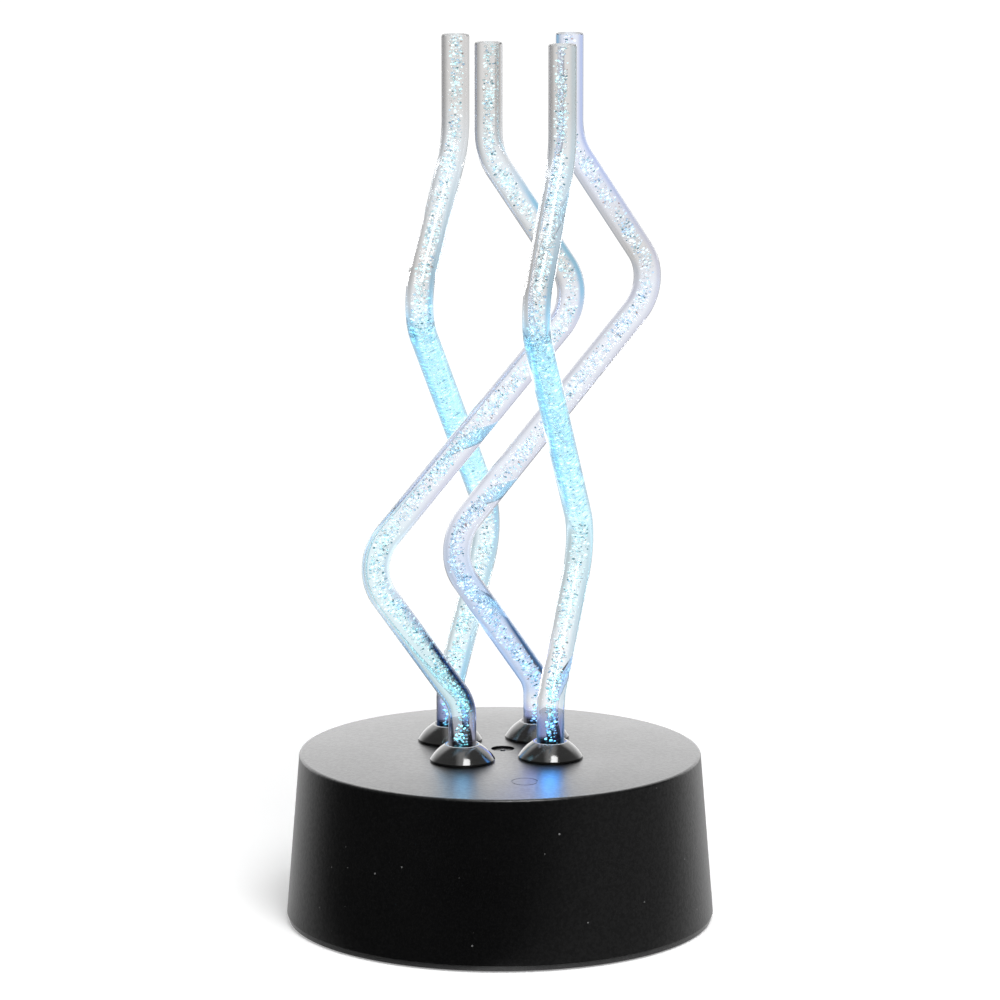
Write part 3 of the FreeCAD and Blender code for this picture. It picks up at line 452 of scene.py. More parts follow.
def turned_ring(name, outline, centre, steps, smooth_angle):
    """A closed section turned about Z: (r cos a, r sin a, z) on a grid that closes both ways."""
    angles = np.linspace(0, 2 * math.pi, steps, endpoint=False)
    radius, height = outline[:, :1], outline[:, 1:]
    grid = np.stack([centre[0] + radius * np.cos(angles), centre[1] + radius * np.sin(angles),
                     np.broadcast_to(height, (len(outline), steps))], axis=2)
    row = np.arange(len(outline))[:, None] * steps
    next_row = np.roll(row, -1, axis=0)
    step = np.arange(steps)[None, :]
    next_step = np.roll(step, -1, axis=1)
    quads = np.stack([row + step, next_row + step, next_row + next_step, row + next_step], axis=2)
    return new_object(name, grid.reshape(-1, 3), [quads.reshape(-1, 4)], smooth_angle)


def polished_black():
    """Polished black plastic: hairline scratches, a fine pitting and a faint haze in its gloss."""
    material, tree = blank_material("polished_black")
    place = object_place(tree)
    haze = noise(tree, place, 260.0, 4.0)
    drawn = add_node(tree, "ShaderNodeMapping", {"Vector": place, "Scale": scratch_scale})
    scratch = smooth_step(tree, noise(tree, drawn.outputs[0], 1.0, 2.0), *scratch_reach)
    pits = bumped(tree, noise(tree, place, 2000.0, 2.0), 0.00001)
    finish_material(tree, {
        "Base Color": colour_mix(tree, haze, (0.005, 0.005, 0.005), (0.013, 0.013, 0.0125)),
        "Roughness": maths(tree, "MULTIPLY_ADD", scratch, scratch_dulling, polish),
        "Specular IOR Level": 0.8,
        "Normal": bumped(tree, haze, 0.00005, Normal=pits)})
    return material


rod_names = ("front_left", "back_left", "back_right", "front_right")
seat_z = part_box("collar_front_left")[1].z - collar_profile["height"]
spigot_bottom_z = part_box("collar_front_left")[0].z
rod_bottom_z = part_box("rod_front_left")[0].z
rod_top_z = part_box("rod_front_left")[1].z
outline = collar_outline(seat_z, rod_bottom_z, spigot_bottom_z)
black_gloss = polished_black()
feet_of_rods = {}
for name in rod_names:
    low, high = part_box("collar_" + name)
    feet_of_rods[name] = np.array([(low.x + high.x) / 2, (low.y + high.y) / 2])
    dome = turned_ring("dome_collar_" + name, outline, feet_of_rods[name], collar_steps, math.radians(32))
    dome.data.materials.append(black_gloss)
    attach(dome, "base")
    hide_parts("collar_" + name)


# ----------------------------------------------------------
# Rods
# Four 10 mm rods of clear cast acrylic with a core of tiny air bubbles, bent hot over round formers. Each
# stands upright in its collar, leans out, crosses over, leans back and ends upright. The bubbles catch the
# light that comes up from the LED, and here that light is painted on as tints of the rods and bubbles and as
# a glow of the bubbles: cyan on the left, bluer on the right, and paler towards the top. The rods' margins
# and edges carry painted shade.

rod_radius = 0.005
end_chamfer = 0.0003
bend_heights = np.array([0.0208, 0.0737, 0.1661, 0.2194])
bend_radii = (0.015, 0.018, 0.018, 0.024)
bend_offsets = {
    "front_left": ((0, 0), (-0.0354, -0.0136), (0.0433, 0.0156), (0.0094, 0.0015)),
    "back_left": ((0, 0), (0.0151, 0.0420), (-0.0122, -0.0460), (0.0023, -0.0040)),
    "back_right": ((0, 0), (-0.0338, -0.0190), (0.0445, 0.0170), (0.0113, -0.0040)),
    "front_right": ((0, 0), (0.0121, 0.0362), (-0.0068, -0.0440), (0.0037, -0.0100)),
}
ring_spacing = 0.0006
ring_steps = 72
arc_steps = 60


def unit(vectors):
    """Vectors at length one."""
    return vectors / np.linalg.norm(vectors, axis=-1, keepdims=True)


def bent_line(corners, radii, spacing):
    """Even points along straight runs with a tangent arc at each corner: centre + r (cos t e + sin t f)."""
    pieces = [corners[:1]]
    for before, corner, after, radius in zip(corners, corners[1:], corners[2:], radii):
        back, onward = unit(before - corner), unit(after - corner)
        half = np.arccos(back @ onward) / 2
        centre = corner + unit(back + onward) * radius / np.sin(half)
        first = unit(corner + back * radius / np.tan(half) - centre)
        turn = np.linspace(0, np.pi - 2 * half, arc_steps)[:, None]
        pieces.append(centre + radius * (np.cos(turn) * first - np.sin(turn) * back))
    pieces.append(corners[-1:])
    points = np.concatenate(pieces)
    reach = np.concatenate([[0], np.cumsum(np.linalg.norm(np.diff(points, axis=0), axis=1))])
    even = np.linspace(0, reach[-1], int(reach[-1] / spacing) + 1)
    return np.column_stack([np.interp(even, reach, points[:, k]) for k in range(3)]), even


def side_axes(line):
    """Two axes square to the line at each point: X less its part along the line, and their cross product."""
    along = unit(np.gradient(line, axis=0))
    across = unit(np.array([1.0, 0.0, 0.0]) - along[:, :1] * along)
    return along, across, np.cross(along, across)


def rod_line(name, spacing):
    """The middle line of a rod from its end in the collar to its top."""
    foot = feet_of_rods[name]
    offsets = np.array(bend_offsets[name])
    bends = np.column_stack([foot + offsets, seat_z + bend_heights])
    low_end = [*foot, rod_bottom_z]
    top_end = [*(foot + offsets[-1]), rod_top_z]
    return bent_line(np.array([low_end, *bends, top_end]), bend_radii, spacing)


def rod_skin(line, reach):
    """Rings of radius r about the line, r (cos a u + sin a v), with each point's height and way outwards."""
    ends = np.array([0.0, reach[-1]])
    stations = np.concatenate([[0.0, end_chamfer], reach[1:-1], [reach[-1] - end_chamfer, reach[-1]]])
    radii = rod_radius - np.where(np.isin(stations, ends), end_chamfer, 0.0)
    _, across, over = side_axes(line)
    spots, u, v = [np.column_stack([np.interp(stations, reach, field[:, k]) for k in range(3)])
                   for field in (line, across, over)]
    angles = np.linspace(0, 2 * math.pi, ring_steps, endpoint=False)[None, :, None]
    ways = np.cos(angles) * u[:, None] + np.sin(angles) * v[:, None]
    rings = spots[:, None] + radii[:, None, None] * ways
    count = len(stations)
    row = np.arange(count - 1)[:, None] * ring_steps
    step = np.arange(ring_steps)[None, :]
    next_step = np.roll(step, -1, axis=1)
    next_row = row + ring_steps
    quads = np.stack([row + step, row + next_step, next_row + next_step, next_row + step], axis=2)
    low_pole, top_pole = count * ring_steps, count * ring_steps + 1
    last = (count - 1) * ring_steps
    fan = np.column_stack([next_step[0], step[0], np.full(ring_steps, low_pole)])
    top_fan = np.column_stack([last + step[0], last + next_step[0], np.full(ring_steps, top_pole)])
    vertices = np.concatenate([rings.reshape(-1, 3), line[:1], line[-1:]])
    heights = np.concatenate([np.repeat(spots[:, 2], ring_steps), [line[0, 2], line[-1, 2]]]) - seat_z
    outward = np.concatenate([(rings - spots[:, None]).reshape(-1, 3) / rod_radius, np.zeros((2, 3))])
    return vertices, [quads.reshape(-1, 4), fan, top_fan], heights, outward


# Painted light and shade: tints of the clear rod by height above the housing's top stand in for the LED's
# light in it, and the grey ones high up stand in for shade. The near-black one darkens the rod at the
# collar's mouth.
mouth_dark = (0.02, 0.02, 0.03)
grey_shade = (0.73, 0.72, 0.712)
pale = (0.93, 0.95, 0.98)
ice = (0.85, 0.91, 0.96)
cyan = (0.52, 0.84, 0.985)
aqua = (0.68, 0.87, 0.92)
lavender = (0.82, 0.86, 0.98)
periwinkle = (0.66, 0.77, 0.98)
violet = (0.50, 0.58, 0.98)
slate = (0.72, 0.74, 0.86)
mauve = (0.86, 0.89, 0.97)
breeze = (0.80, 0.93, 0.975)
light_tint_heights = (
    0.0069, 0.0074, 0.013, 0.019, 0.035, 0.060, 0.080, 0.100, 0.155, 0.166, 0.178, 0.210, 0.235)
rod_light_tints = {
    "front_left": (
        mouth_dark, slate, slate, aqua, aqua, breeze, breeze, mauve, mauve, mauve, grey_shade, ice, grey_shade),
    "back_left": (
        mouth_dark, violet, violet, breeze, breeze, breeze, ice, cyan, cyan, ice, grey_shade, ice, grey_shade),
    "back_right": (
        mouth_dark, violet, pale, periwinkle, periwinkle, periwinkle, lavender, mauve, mauve, mauve, grey_shade,
        lavender, lavender),
    "front_right": (
        mouth_dark, violet, violet, pale, pale, breeze, aqua, cyan, cyan, ice, grey_shade, ice, grey_shade),
}
core_heights = (0.0, 0.05, 0.085, 0.105, 0.150, 0.175, 0.258)
core_radii = {
    "front_left": (0.0015, 0.0022, 0.0019, 0.0018, 0.0018, 0.0017, 0.0015),
    "back_left": (0.0016, 0.0018, 0.0022, 0.0029, 0.0029, 0.0017, 0.0016),
    "back_right": (0.0015, 0.0019, 0.0018, 0.0017, 0.0017, 0.0017, 0.0015),
    "front_right": (0.0015, 0.0018, 0.0022, 0.0029, 0.0028, 0.0017, 0.0016),
}
# The bubbles of the front left rod lie to the right of its middle in its lowest bend
core_shift_heights = (0.012, 0.024, 0.046, 0.062)
core_shifts = {"front_left": (0.0, 0.0016, 0.0015, 0.0)}
no_shifts = (0.0,) * 4

# Bubbles sit in thin layers across the rod, 13 places in each and not all of them filled, and drift a little
layer_pitch = 0.0010
layer_jitter = 0.22
layer_turn = 2.0
bubbles_per_layer = 13
golden_angle = math.pi * (3 - math.sqrt(5))
bubble_radii = (0.00018, 0.00054)
bubble_jitter = 0.00013
drift_reach = 0.00035
drift_pitches = (55, 71)
crowd_pitches = (430, 197)
crowd_cores = (0.0016, 0.0028)
crowds = (0.62, 0.95)
wave_cores = (0.0018, 0.0026)
crowd_waves = (0.17, 0.05)
end_gap = 0.0001
# Painted light and shade in the bubbles: each takes one of these colours by its share. The light ones stand
# in for the LED's light and the dark ones for shade.
bubble_mix = {
    "clear": ((0.98, 0.99, 1.0), 0.36),
    "cyan": ((0.66, 0.93, 0.98), 0.26),
    "blue": ((0.50, 0.74, 1.0), 0.16),
    "pale": ((0.86, 0.96, 0.99), 0.12),
    "dark": ((0.07, 0.24, 0.30), 0.07),
    "warm": ((0.62, 0.42, 0.36), 0.03),
}
# The bubbles' painted light pales up to 15% towards white from 30 mm to 80 mm above the housing's top
fade_heights = (0.03, 0.08)
fades = (0.0, 0.15)


def icosahedron():
    """The 12 corners and 20 faces of a regular icosahedron of radius one, its faces turned to its middle."""
    golden = (1 + math.sqrt(5)) / 2
    base = np.array([[-1, golden, 0], [1, golden, 0], [-1, -golden, 0], [1, -golden, 0]])
    corners = unit(np.concatenate([base, np.roll(base, 1, axis=1), np.roll(base, 2, axis=1)]))
    picks = np.array([(a, b, c) for a in range(12) for b in range(a) for c in range(b)])
    sides = corners[picks]
    lengths = np.linalg.norm(sides - np.roll(sides, 1, axis=1), axis=2)
    faces = picks[lengths.max(axis=1) < 1.1]
    a, b, c = (corners[faces[:, k]] for k in range(3))
    outward = np.einsum("ij,ij->i", np.cross(b - a, c - a), a) > 0
    faces[outward] = faces[outward][:, ::-1]
    return corners, faces


def bubble_cloud(name, line, reach, rng):
    """Bubbles at sunflower places R sqrt(k / n), k times the golden angle, in layers along the rod.

    The share of places that hold a bubble rises with the core's radius and waves along the rod.
    """
    _, across, over = side_axes(line)
    layers = np.arange(end_chamfer * 4, reach[-1] - end_chamfer * 2, layer_pitch)
    spots = np.repeat(layers, bubbles_per_layer)
    spots = np.clip(spots + rng.normal(0, layer_pitch * layer_jitter, len(spots)), layers[0], layers[-1])
    spots = np.clip(spots, 0, reach[-1] - bubble_radii[1] - end_gap)
    place = [np.column_stack([np.interp(spots, reach, field[:, k]) for k in range(3)])
             for field in (line, across, over)]
    height = place[0][:, 2] - seat_z
    rank = np.tile(np.arange(bubbles_per_layer) + 0.5, len(layers))
    turn = rank * golden_angle + np.repeat(np.arange(len(layers)) * layer_turn, bubbles_per_layer)
    core = np.interp(height, core_heights, core_radii[name])
    off_axis = core * np.sqrt(rank / bubbles_per_layer) + rng.normal(0, bubble_jitter, len(spots))
    drift = [drift_reach * np.sin(spots * pitch + rng.uniform(0, 6, 1)) for pitch in drift_pitches]
    shift = np.interp(height, core_shift_heights, core_shifts.get(name, no_shifts))
    sideways = off_axis * np.cos(turn) + drift[0] + shift
    upward = off_axis * np.sin(turn) + drift[1]
    centres = place[0] + sideways[:, None] * place[1] + upward[:, None] * place[2]
    waves = sum(np.sin(spots * pitch + rng.uniform(0, 6)) for pitch in crowd_pitches)
    crowd = np.interp(core, crowd_cores, crowds) + np.interp(core, wave_cores, crowd_waves) * waves
    kept = rng.random(len(spots)) < crowd
    sizes = rng.uniform(*bubble_radii, len(spots)) * rng.uniform(0.75, 1.0, len(spots))
    return centres[kept], sizes[kept], height[kept]


def colour_by_height(heights, stops, colours):
    """Colours between the stops, one channel at a time."""
    return np.column_stack([np.interp(heights, stops, [colour[k] for colour in colours]) for k in range(3)])


# Painted light that leaves a rod: its bubbles glow by height, and its skin throws a glow that only mirrors
# see, a painted reflection of rod light on the housing's top and the collars
glow_turn_height = 0.05
glow_heights = (-0.012, 0.002, 0.022, 0.060, 0.130, 0.200, 0.258)
bubble_glow_levels = (3.1, 2.7, 1.2, 0.85, 0.85, 0.7, 0.7)
spill_levels = (1.0, 1.0, 0.6, 0.1, 0.05, 0.03, 0.02)
rod_glows = {
    "front_left": ((0.16, 0.78, 0.80), (0.62, 0.92, 0.95)),
    "back_left": ((0.12, 0.70, 0.85), (0.62, 0.93, 0.95)),
    "back_right": ((0.20, 0.60, 0.95), (0.65, 0.82, 0.97)),
    "front_right": ((0.12, 0.75, 0.90), (0.60, 0.92, 0.97)),
}
rod_spills = {
    "front_left": (0.9, 2.2, 3.9),
    "back_left": (0.5, 1.6, 3.0),
    "back_right": (1.1, 1.4, 4.4),
    "front_right": (0.8, 4.4, 12.5),
}
# A painted white glow on the skin that mirrors see, rising from 12 mm to 45 mm above the housing's top
mirrored_white = (3.1, 3.1, 3.3)
white_heights = (0.012, 0.045)
spill_falloff = 1.5

# Painted shade and light at a rod's margins: tints by height, on its left and on its right, and painted light
# that leaks out of them
clear = white
grey = (0.85, 0.85, 0.86)
dark = (0.42, 0.42, 0.44)
dim = (0.26, 0.26, 0.28)
navy = (0.0004, 0.003, 0.05)
dusk = (0.66, 0.67, 0.92)
sky = (0.20, 0.60, 0.96)
frost = (0.86, 0.95, 1.0)
mist = (0.68, 0.88, 0.99)
lilac = (0.80, 0.79, 0.94)
iris = (0.48, 0.6, 1.0)
margin_heights = (0.010, 0.017, 0.020, 0.041, 0.050, 0.085, 0.095, 0.158, 0.168, 0.200, 0.215)
margin_shade_and_light = {
    "front_left": ((dark, grey, grey, grey, grey, mist, lilac, lilac, grey, dark, dark),
                   (dusk, dusk, navy, navy, dusk, mist, lilac, lilac, sky, sky, grey)),
    "back_left": ((dark, grey, grey, grey, mist, grey, sky, sky, grey, dark, dark),
                  (dark, mist, sky, mist, mist, sky, mist, mist, sky, mist, clear)),
    "back_right": ((dusk, clear, clear, clear, mist, grey, lilac, lilac, grey, sky, sky),
                   (dusk, dusk, navy, navy, mist, grey, lilac, lilac, lilac, iris, iris)),
    "front_right": ((dusk, grey, grey, grey, grey, grey, sky, sky, grey, dim, dim),
                    (dusk, frost, mist, mist, mist, frost, frost, frost, sky, mist, mist)),
}
# Where a margin starts, as a share of the radius: on the left by height, with a wider one half way up on two
# of the rods, and on the right. It is weakest on the flanks.
left_start_heights = (0.085, 0.095, 0.158, 0.168, 0.185)
middle_starts = {"front_left": 0.45, "back_left": 0.15, "back_right": 0.45, "front_right": 0.15}
right_starts = {"front_left": 0.45, "back_left": 0.45, "back_right": 0.55, "front_right": 0.45}
low_start = 0.45
top_start = 0.6
margin_fade = 0.25
flank_start = 0.1
flank_fade = 0.3
least_flank = 0.25
leak_heights = (0.0069, 0.013, 0.019, 0.046, 0.060, 0.083, 0.095, 0.164, 0.172)
none = (0.0, 0.0, 0.0)
faint_grey = (0.12, 0.12, 0.13)
soft_white = (0.20, 0.21, 0.21)
deep_blue = (0.0, 0.015, 0.06)
low_blue = (0.04, 0.10, 0.20)
band_blue = (0.03, 0.11, 0.26)
pale_cyan = (0.14, 0.22, 0.27)
leaks = {
    "front_left": (faint_grey, deep_blue, deep_blue, deep_blue, soft_white, soft_white, none, none, none),
    "back_left": (deep_blue, none, none, none, none, none, pale_cyan, pale_cyan, none),
    "back_right": (faint_grey, band_blue, band_blue, band_blue, faint_grey, faint_grey, none, none, none),
    "front_right": (low_blue, low_blue, none, none, none, pale_cyan, pale_cyan, pale_cyan, none),
}


def glow_by_height(heights, levels, low_colour, high_colour):
    """A glow that fades with height, from its low colour at the collar to its high colour 50 mm above."""
    share = np.clip(heights / glow_turn_height, 0, 1)[:, None]
    colours = np.array(low_colour) * (1 - share) + np.array(high_colour) * share
    return colours * np.interp(heights, glow_heights, levels)[:, None]


def paint(mesh, attribute_name, colours):
    """Writes a colour for each vertex as a mesh attribute."""
    attribute = mesh.color_attributes.new(attribute_name, "FLOAT_COLOR", "POINT")
    rgba = np.column_stack([colours, np.ones(len(colours))])
    attribute.data.foreach_set("color", rgba.astype(np.float32).ravel())


acrylic_ior = 1.49
bubble_ior = 1.2
# Painted shade: the acrylic darkens to this share at its very edge
edge_shade = 0.3
edge_reach = (0.52, 0.78)
margin_reach = (0.015, 0.1)
leak_reach = (0.25, 0.5)
# A painted glow that mirrors beyond 9 mm see, and a painted glint for mirrors within 4 mm
thrown_from = 0.009
glint_within = 0.004
glint_colour = (2.6, 2.8, 3.0)
sawn_roughness = 0.4
skin_roughness = 0.015


def painted(tree, name):
    """A colour that was painted on the mesh."""
    return add_node(tree, "ShaderNodeAttribute", attribute_name=name).outputs["Color"]


def clear_acrylic():
    """Clear acrylic with painted light and shade: tinted by height and by margin, painted dark at its very
    edge, and sawn dull at its top.

    The margins' painted tints and leaks show to the camera. Mirrors a little way off see the painted glow
    that the skin throws, and mirrors close to it see a painted glint.
    """
    material, tree = blank_material("clear_acrylic")
    facing = add_node(tree, "ShaderNodeLayerWeight", {"Blend": 0.5}).outputs["Facing"]
    path = add_node(tree, "ShaderNodeLightPath").outputs
    margin = maths(tree, "MULTIPLY", smooth_step(tree, facing, *margin_reach), path["Is Camera Ray"])
    outer = maths(tree, "MULTIPLY", smooth_step(tree, facing, *leak_reach), path["Is Camera Ray"])
    shade = blend(tree, smooth_step(tree, facing, *edge_reach), 1.0, edge_shade)
    rimmed = colour_mix(tree, margin, white, painted(tree, "rim"))
    light_tinted = vector_maths(tree, "MULTIPLY", painted(tree, "light_tint"), rimmed)
    inside = add_node(tree, "ShaderNodeNewGeometry").outputs["Backfacing"]
    passed = maths(tree, "MAXIMUM", inside, path["Is Transmission Ray"])
    mirrored = maths(tree, "GREATER_THAN", path["Is Glossy Ray"], passed)
    far = maths(tree, "GREATER_THAN", path["Ray Length"], thrown_from)
    near = maths(tree, "LESS_THAN", path["Ray Length"], glint_within)
    thrown_share = maths(tree, "MULTIPLY", far, maths(tree, "SUBTRACT", 1.0, facing))
    thrown = scaled(tree, painted(tree, "glow"), thrown_share)
    both = vector_maths(tree, "ADD", thrown, scaled(tree, glint_colour, near))
    leaving = scaled(tree, painted(tree, "leak"), outer)
    height = axes_of(tree, object_place(tree))["Z"]
    sawn = maths(tree, "GREATER_THAN", height, rod_top_z - end_chamfer * 0.5)
    finish_material(tree, {
        "Base Color": scaled(tree, light_tinted, shade),
        "Roughness": maths(tree, "MULTIPLY_ADD", sawn, sawn_roughness, skin_roughness),
        "IOR": acrylic_ior,
        "Specular Tint": (0.6, 0.6, 0.6),
        "Transmission Weight": 1.0,
        "Emission Color": vector_maths(tree, "ADD", scaled(tree, both, mirrored), leaving),
        "Emission Strength": 1.0})
    return material


def bubble_wall():
    """The acrylic's surface round a bubble, which sparkles in the bubble's painted colour of light and shade
    and glows with painted light.
    """
    material, tree = blank_material("bubble_wall")
    finish_material(tree, {
        "Base Color": painted(tree, "light_tint"),
        "Roughness": 0.05,
        "IOR": bubble_ior,
        "Transmission Weight": 1.0,
        "Emission Color": painted(tree, "glow"),
        "Emission Strength": 1.0})
    return material


acrylic = clear_acrylic()
bubble = bubble_wall()
ball_corners, ball_faces = icosahedron()
rng = np.random.default_rng(41)
for name in rod_names:
    line, reach = rod_line(name, ring_spacing)
    skin, skin_faces, skin_heights, outward = rod_skin(line, reach)
    centres, sizes, bubble_heights = bubble_cloud(name, line, reach, rng)
    balls = centres[:, None] + sizes[:, None, None] * ball_corners
    first = len(skin) + np.arange(len(centres))[:, None, None] * len(ball_corners)
    ball_triangles = (first + ball_faces).reshape(-1, 3)
    vertices = np.concatenate([skin, balls.reshape(-1, 3)])
    rod = new_object("acrylic_rod_" + name, vertices, [*skin_faces, ball_triangles], math.radians(43))
    rod.data.materials.append(acrylic)
    rod.data.materials.append(bubble)
    skin_count = sum(len(part) for part in skin_faces)
    slots = np.repeat([0, 1], [skin_count, len(ball_triangles)])
    rod.data.polygons.foreach_set("material_index", slots.astype(np.int32))
    picks = rng.choice(len(bubble_mix), len(centres), p=[share for _, share in bubble_mix.values()])
    bubble_light_tints = np.array([colour for colour, _ in bubble_mix.values()])[picks]
    bubble_light_tints += (1 - bubble_light_tints) * np.interp(bubble_heights, fade_heights, fades)[:, None]
    skin_light_tints = colour_by_height(skin_heights, light_tint_heights, rod_light_tints[name])
    paint(rod.data, "light_tint", np.concatenate([skin_light_tints, np.repeat(bubble_light_tints, len(ball_corners), axis=0)]))
    spill = glow_by_height(skin_heights, spill_levels, rod_spills[name], rod_spills[name])
    spill += np.array(mirrored_white) * np.interp(skin_heights, white_heights, (0.0, 1.0))[:, None]
    spill *= np.clip(-outward[:, 1:2], 0, 1) ** spill_falloff
    bubble_glow = glow_by_height(bubble_heights, bubble_glow_levels, *rod_glows[name])
    bubble_glow *= rng.random((len(centres), 1)) ** 3 * bubble_light_tints.max(axis=1, keepdims=True) ** 2
    paint(rod.data, "glow", np.concatenate([spill, np.repeat(bubble_glow, len(ball_corners), axis=0)]))
    starts = (low_start, middle_starts[name], middle_starts[name], low_start, top_start)
    left_start = np.interp(skin_heights, left_start_heights, starts)
    skin_rim = np.ones((len(skin), 3))
    flank = np.clip((np.abs(outward[:, 1]) - flank_start) / flank_fade, least_flank, 1)
    for side, start, tints in zip((-1, 1), (left_start, right_starts[name]), margin_shade_and_light[name]):
        share = (flank * np.clip((side * outward[:, 0] - start) / margin_fade, 0, 1))[:, None]
        skin_rim += share * (colour_by_height(skin_heights, margin_heights, tints) - 1)
    skin_leak = colour_by_height(skin_heights, leak_heights, leaks[name])
    unpainted = np.zeros((len(balls) * len(ball_corners), 3))
    paint(rod.data, "rim", np.concatenate([skin_rim, unpainted]))
    paint(rod.data, "leak", np.concatenate([skin_leak, unpainted]))
    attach(rod, "base")
    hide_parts("rod_" + name)


# ----------------------------------------------------------
# Collar nuts
# Four flat nuts of glass-filled nylon, dark grey, screwed onto the collars' spigots inside the housing.

nut_plastic = moulded_plastic(
    "filled_nylon", (0.05, 0.05, 0.052), (0.035, 0.035, 0.037),
    roughness=0.55, roughness_drift=0.1, grain_size=0.0005, grain_depth=0.00001, specular=0.4)
dress(nut_plastic, "collar_nuts")


# ----------------------------------------------------------
# LED board
# A round board of glass-epoxy with a white mask, which throws stray light back up. Two copper rings under the
# mask feed the LEDs, and a tinned ring of solder sits round each of them.

def between(tree, value, low, high):
    """1 where a value lies between low and high, else 0."""
    above, below = maths(tree, "GREATER_THAN", value, low), maths(tree, "LESS_THAN", value, high)
    return maths(tree, "MULTIPLY", above, below)


def distance_from(tree, place, x, y):
    """Distance across the board from a point."""
    offset = vector_maths(tree, "ADD", place, (-x, -y, 0.0))
    return length_of(tree, vector_maths(tree, "MULTIPLY", offset, (1.0, 1.0, 0.0)))


def circuit_board(name, mask_colour, trace_colour, find_traces, find_pads):
    """Solder mask over glass-epoxy, with traces under the mask, bare tin pads and bare laminate edges."""
    material, tree = blank_material(name)
    place = object_place(tree)
    normal = add_node(tree, "ShaderNodeNewGeometry").outputs["True Normal"]
    covered = maths(tree, "GREATER_THAN", maths(tree, "ABSOLUTE", axes_of(tree, normal)["Z"]), 0.5)
    traces, pads = find_traces(tree, place), maths(tree, "MULTIPLY", find_pads(tree, place), covered)
    masked = colour_mix(tree, traces, mask_colour, trace_colour)
    laminate = colour_mix(tree, noise(tree, place, 1800.0, 2.0), (0.33, 0.30, 0.16), (0.52, 0.49, 0.30))
    faced = colour_mix(tree, covered, laminate, masked)
    finish_material(tree, {
        "Base Color": colour_mix(tree, pads, faced, (0.62, 0.62, 0.60)),
        "Metallic": pads,
        "Roughness": blend(tree, pads, blend(tree, covered, 0.8, 0.32), 0.25),
        "Normal": bumped(tree, maths(tree, "MAXIMUM", traces, pads), 0.00003)})
    return material


trace_rings = ((0.0178, 0.0190), (0.0262, 0.0274))
solder_ring = (0.0029, 0.0036)


def ring_traces(tree, place):
    """Two rings, one on either side of the LEDs, 1.2 mm wide."""
    from_middle = distance_from(tree, place, 0.0, 0.0)
    return maths(tree, "MAXIMUM", *[between(tree, from_middle, *ring) for ring in trace_rings])


def led_pads(tree, place):
    """A solder ring round each LED's flange."""
    found = 0.0
    for foot in feet_of_rods.values():
        ring = between(tree, distance_from(tree, place, *foot), *solder_ring)
        found = maths(tree, "MAXIMUM", found, ring)
    return found


white_board = circuit_board(
    "white_led_board", (0.78, 0.78, 0.76), (0.60, 0.58, 0.52), ring_traces, led_pads)
dress(white_board, "led_board")


# ----------------------------------------------------------
# LEDs
# A round 5 mm LED of water-clear epoxy under each rod, cyan on the left and blue on the right at this moment
# of the colour cycle.

led_colours = {
    "front_left": (0.25, 0.85, 1.0),
    "back_left": (0.25, 0.9, 1.0),
    "back_right": (0.25, 0.45, 1.0),
    "front_right": (0.2, 0.4, 1.0),
}
middle_light = 1.6
least_light = 0.3
light_fall = 420.0
for name, colour in led_colours.items():
    material, tree = blank_material("led_epoxy_" + name)
    near = distance_from(tree, object_place(tree), *feet_of_rods[name])
    chip_light = maths(tree, "SUBTRACT", middle_light, maths(tree, "MULTIPLY", near, light_fall))
    finish_material(tree, {
        "Base Color": (0.9, 0.95, 1.0),
        "Roughness": 0.12,
        "IOR": 1.53,
        "Transmission Weight": 0.7,
        "Emission Color": colour,
        "Emission Strength": maths(tree, "MAXIMUM", chip_light, least_light)})
    dress(material, "led_" + name)


# ----------------------------------------------------------
# Screws
# Zinc-plated steel screws with pan heads: four in the cover, four under the LED board and two under the
# control board. The plating is bluish and a little streaked.

def brushed_metal(name, colour, dark_colour, roughness, streak_scale):
    """Plated metal with streaks of tone and gloss: noise stretched along the scale given for each axis."""
    material, tree = blank_material(name)
    drawn = add_node(tree, "ShaderNodeMapping", {"Vector": object_place(tree), "Scale": streak_scale})
    streaks = noise(tree, drawn.outputs[0], 1.0, 3.0)
    finish_material(tree, {
        "Base Color": colour_mix(tree, streaks, dark_colour, colour),
        "Metallic": 1.0,
        "Roughness": maths(tree, "MULTIPLY_ADD", streaks, 0.2, roughness - 0.1),
        "Normal": bumped(tree, streaks, 0.000008)})
    return material


zinc = brushed_metal("zinc_plate", (0.68, 0.70, 0.74), (0.50, 0.52, 0.55), 0.32, (1500.0, 1500.0, 400.0))
dress(zinc, "cover_screws", "led_board_screws", "control_board_screws")


# ----------------------------------------------------------
# Control board
# A small board of glass-epoxy with a green mask, screwed up against its two posts at the back of the housing.
# Fine traces run across it, with a row of tinned pads for the leads.

trace_pitch = 0.00254
trace_half_width = 0.00018
trace_cells = 260.0
trace_share = 0.55
border_start = 0.0222
pad_pitch = 0.0025
pad_radius = 0.0009
pad_row_reach = 0.006
pad_row_inset = 0.0006


def bus_traces(tree, place):
    """Lines along Y, 0.36 mm wide every 2.54 mm, kept in about half of 4 mm cells, and a ground border."""
    x = axes_of(tree, place)["X"]
    line = maths(tree, "LESS_THAN", maths(tree, "PINGPONG", x, trace_pitch / 2), trace_half_width)
    inputs = {"Vector": place, "Scale": trace_cells}
    cells = add_node(tree, "ShaderNodeTexVoronoi", inputs, distance="CHEBYCHEV")
    picked = add_node(tree, "ShaderNodeSeparateColor", {0: cells.outputs["Color"]}).outputs["Red"]
    kept = maths(tree, "MULTIPLY", line, maths(tree, "LESS_THAN", picked, trace_share))
    border = maths(tree, "GREATER_THAN", maths(tree, "ABSOLUTE", x), border_start)
    return maths(tree, "MAXIMUM", kept, border)


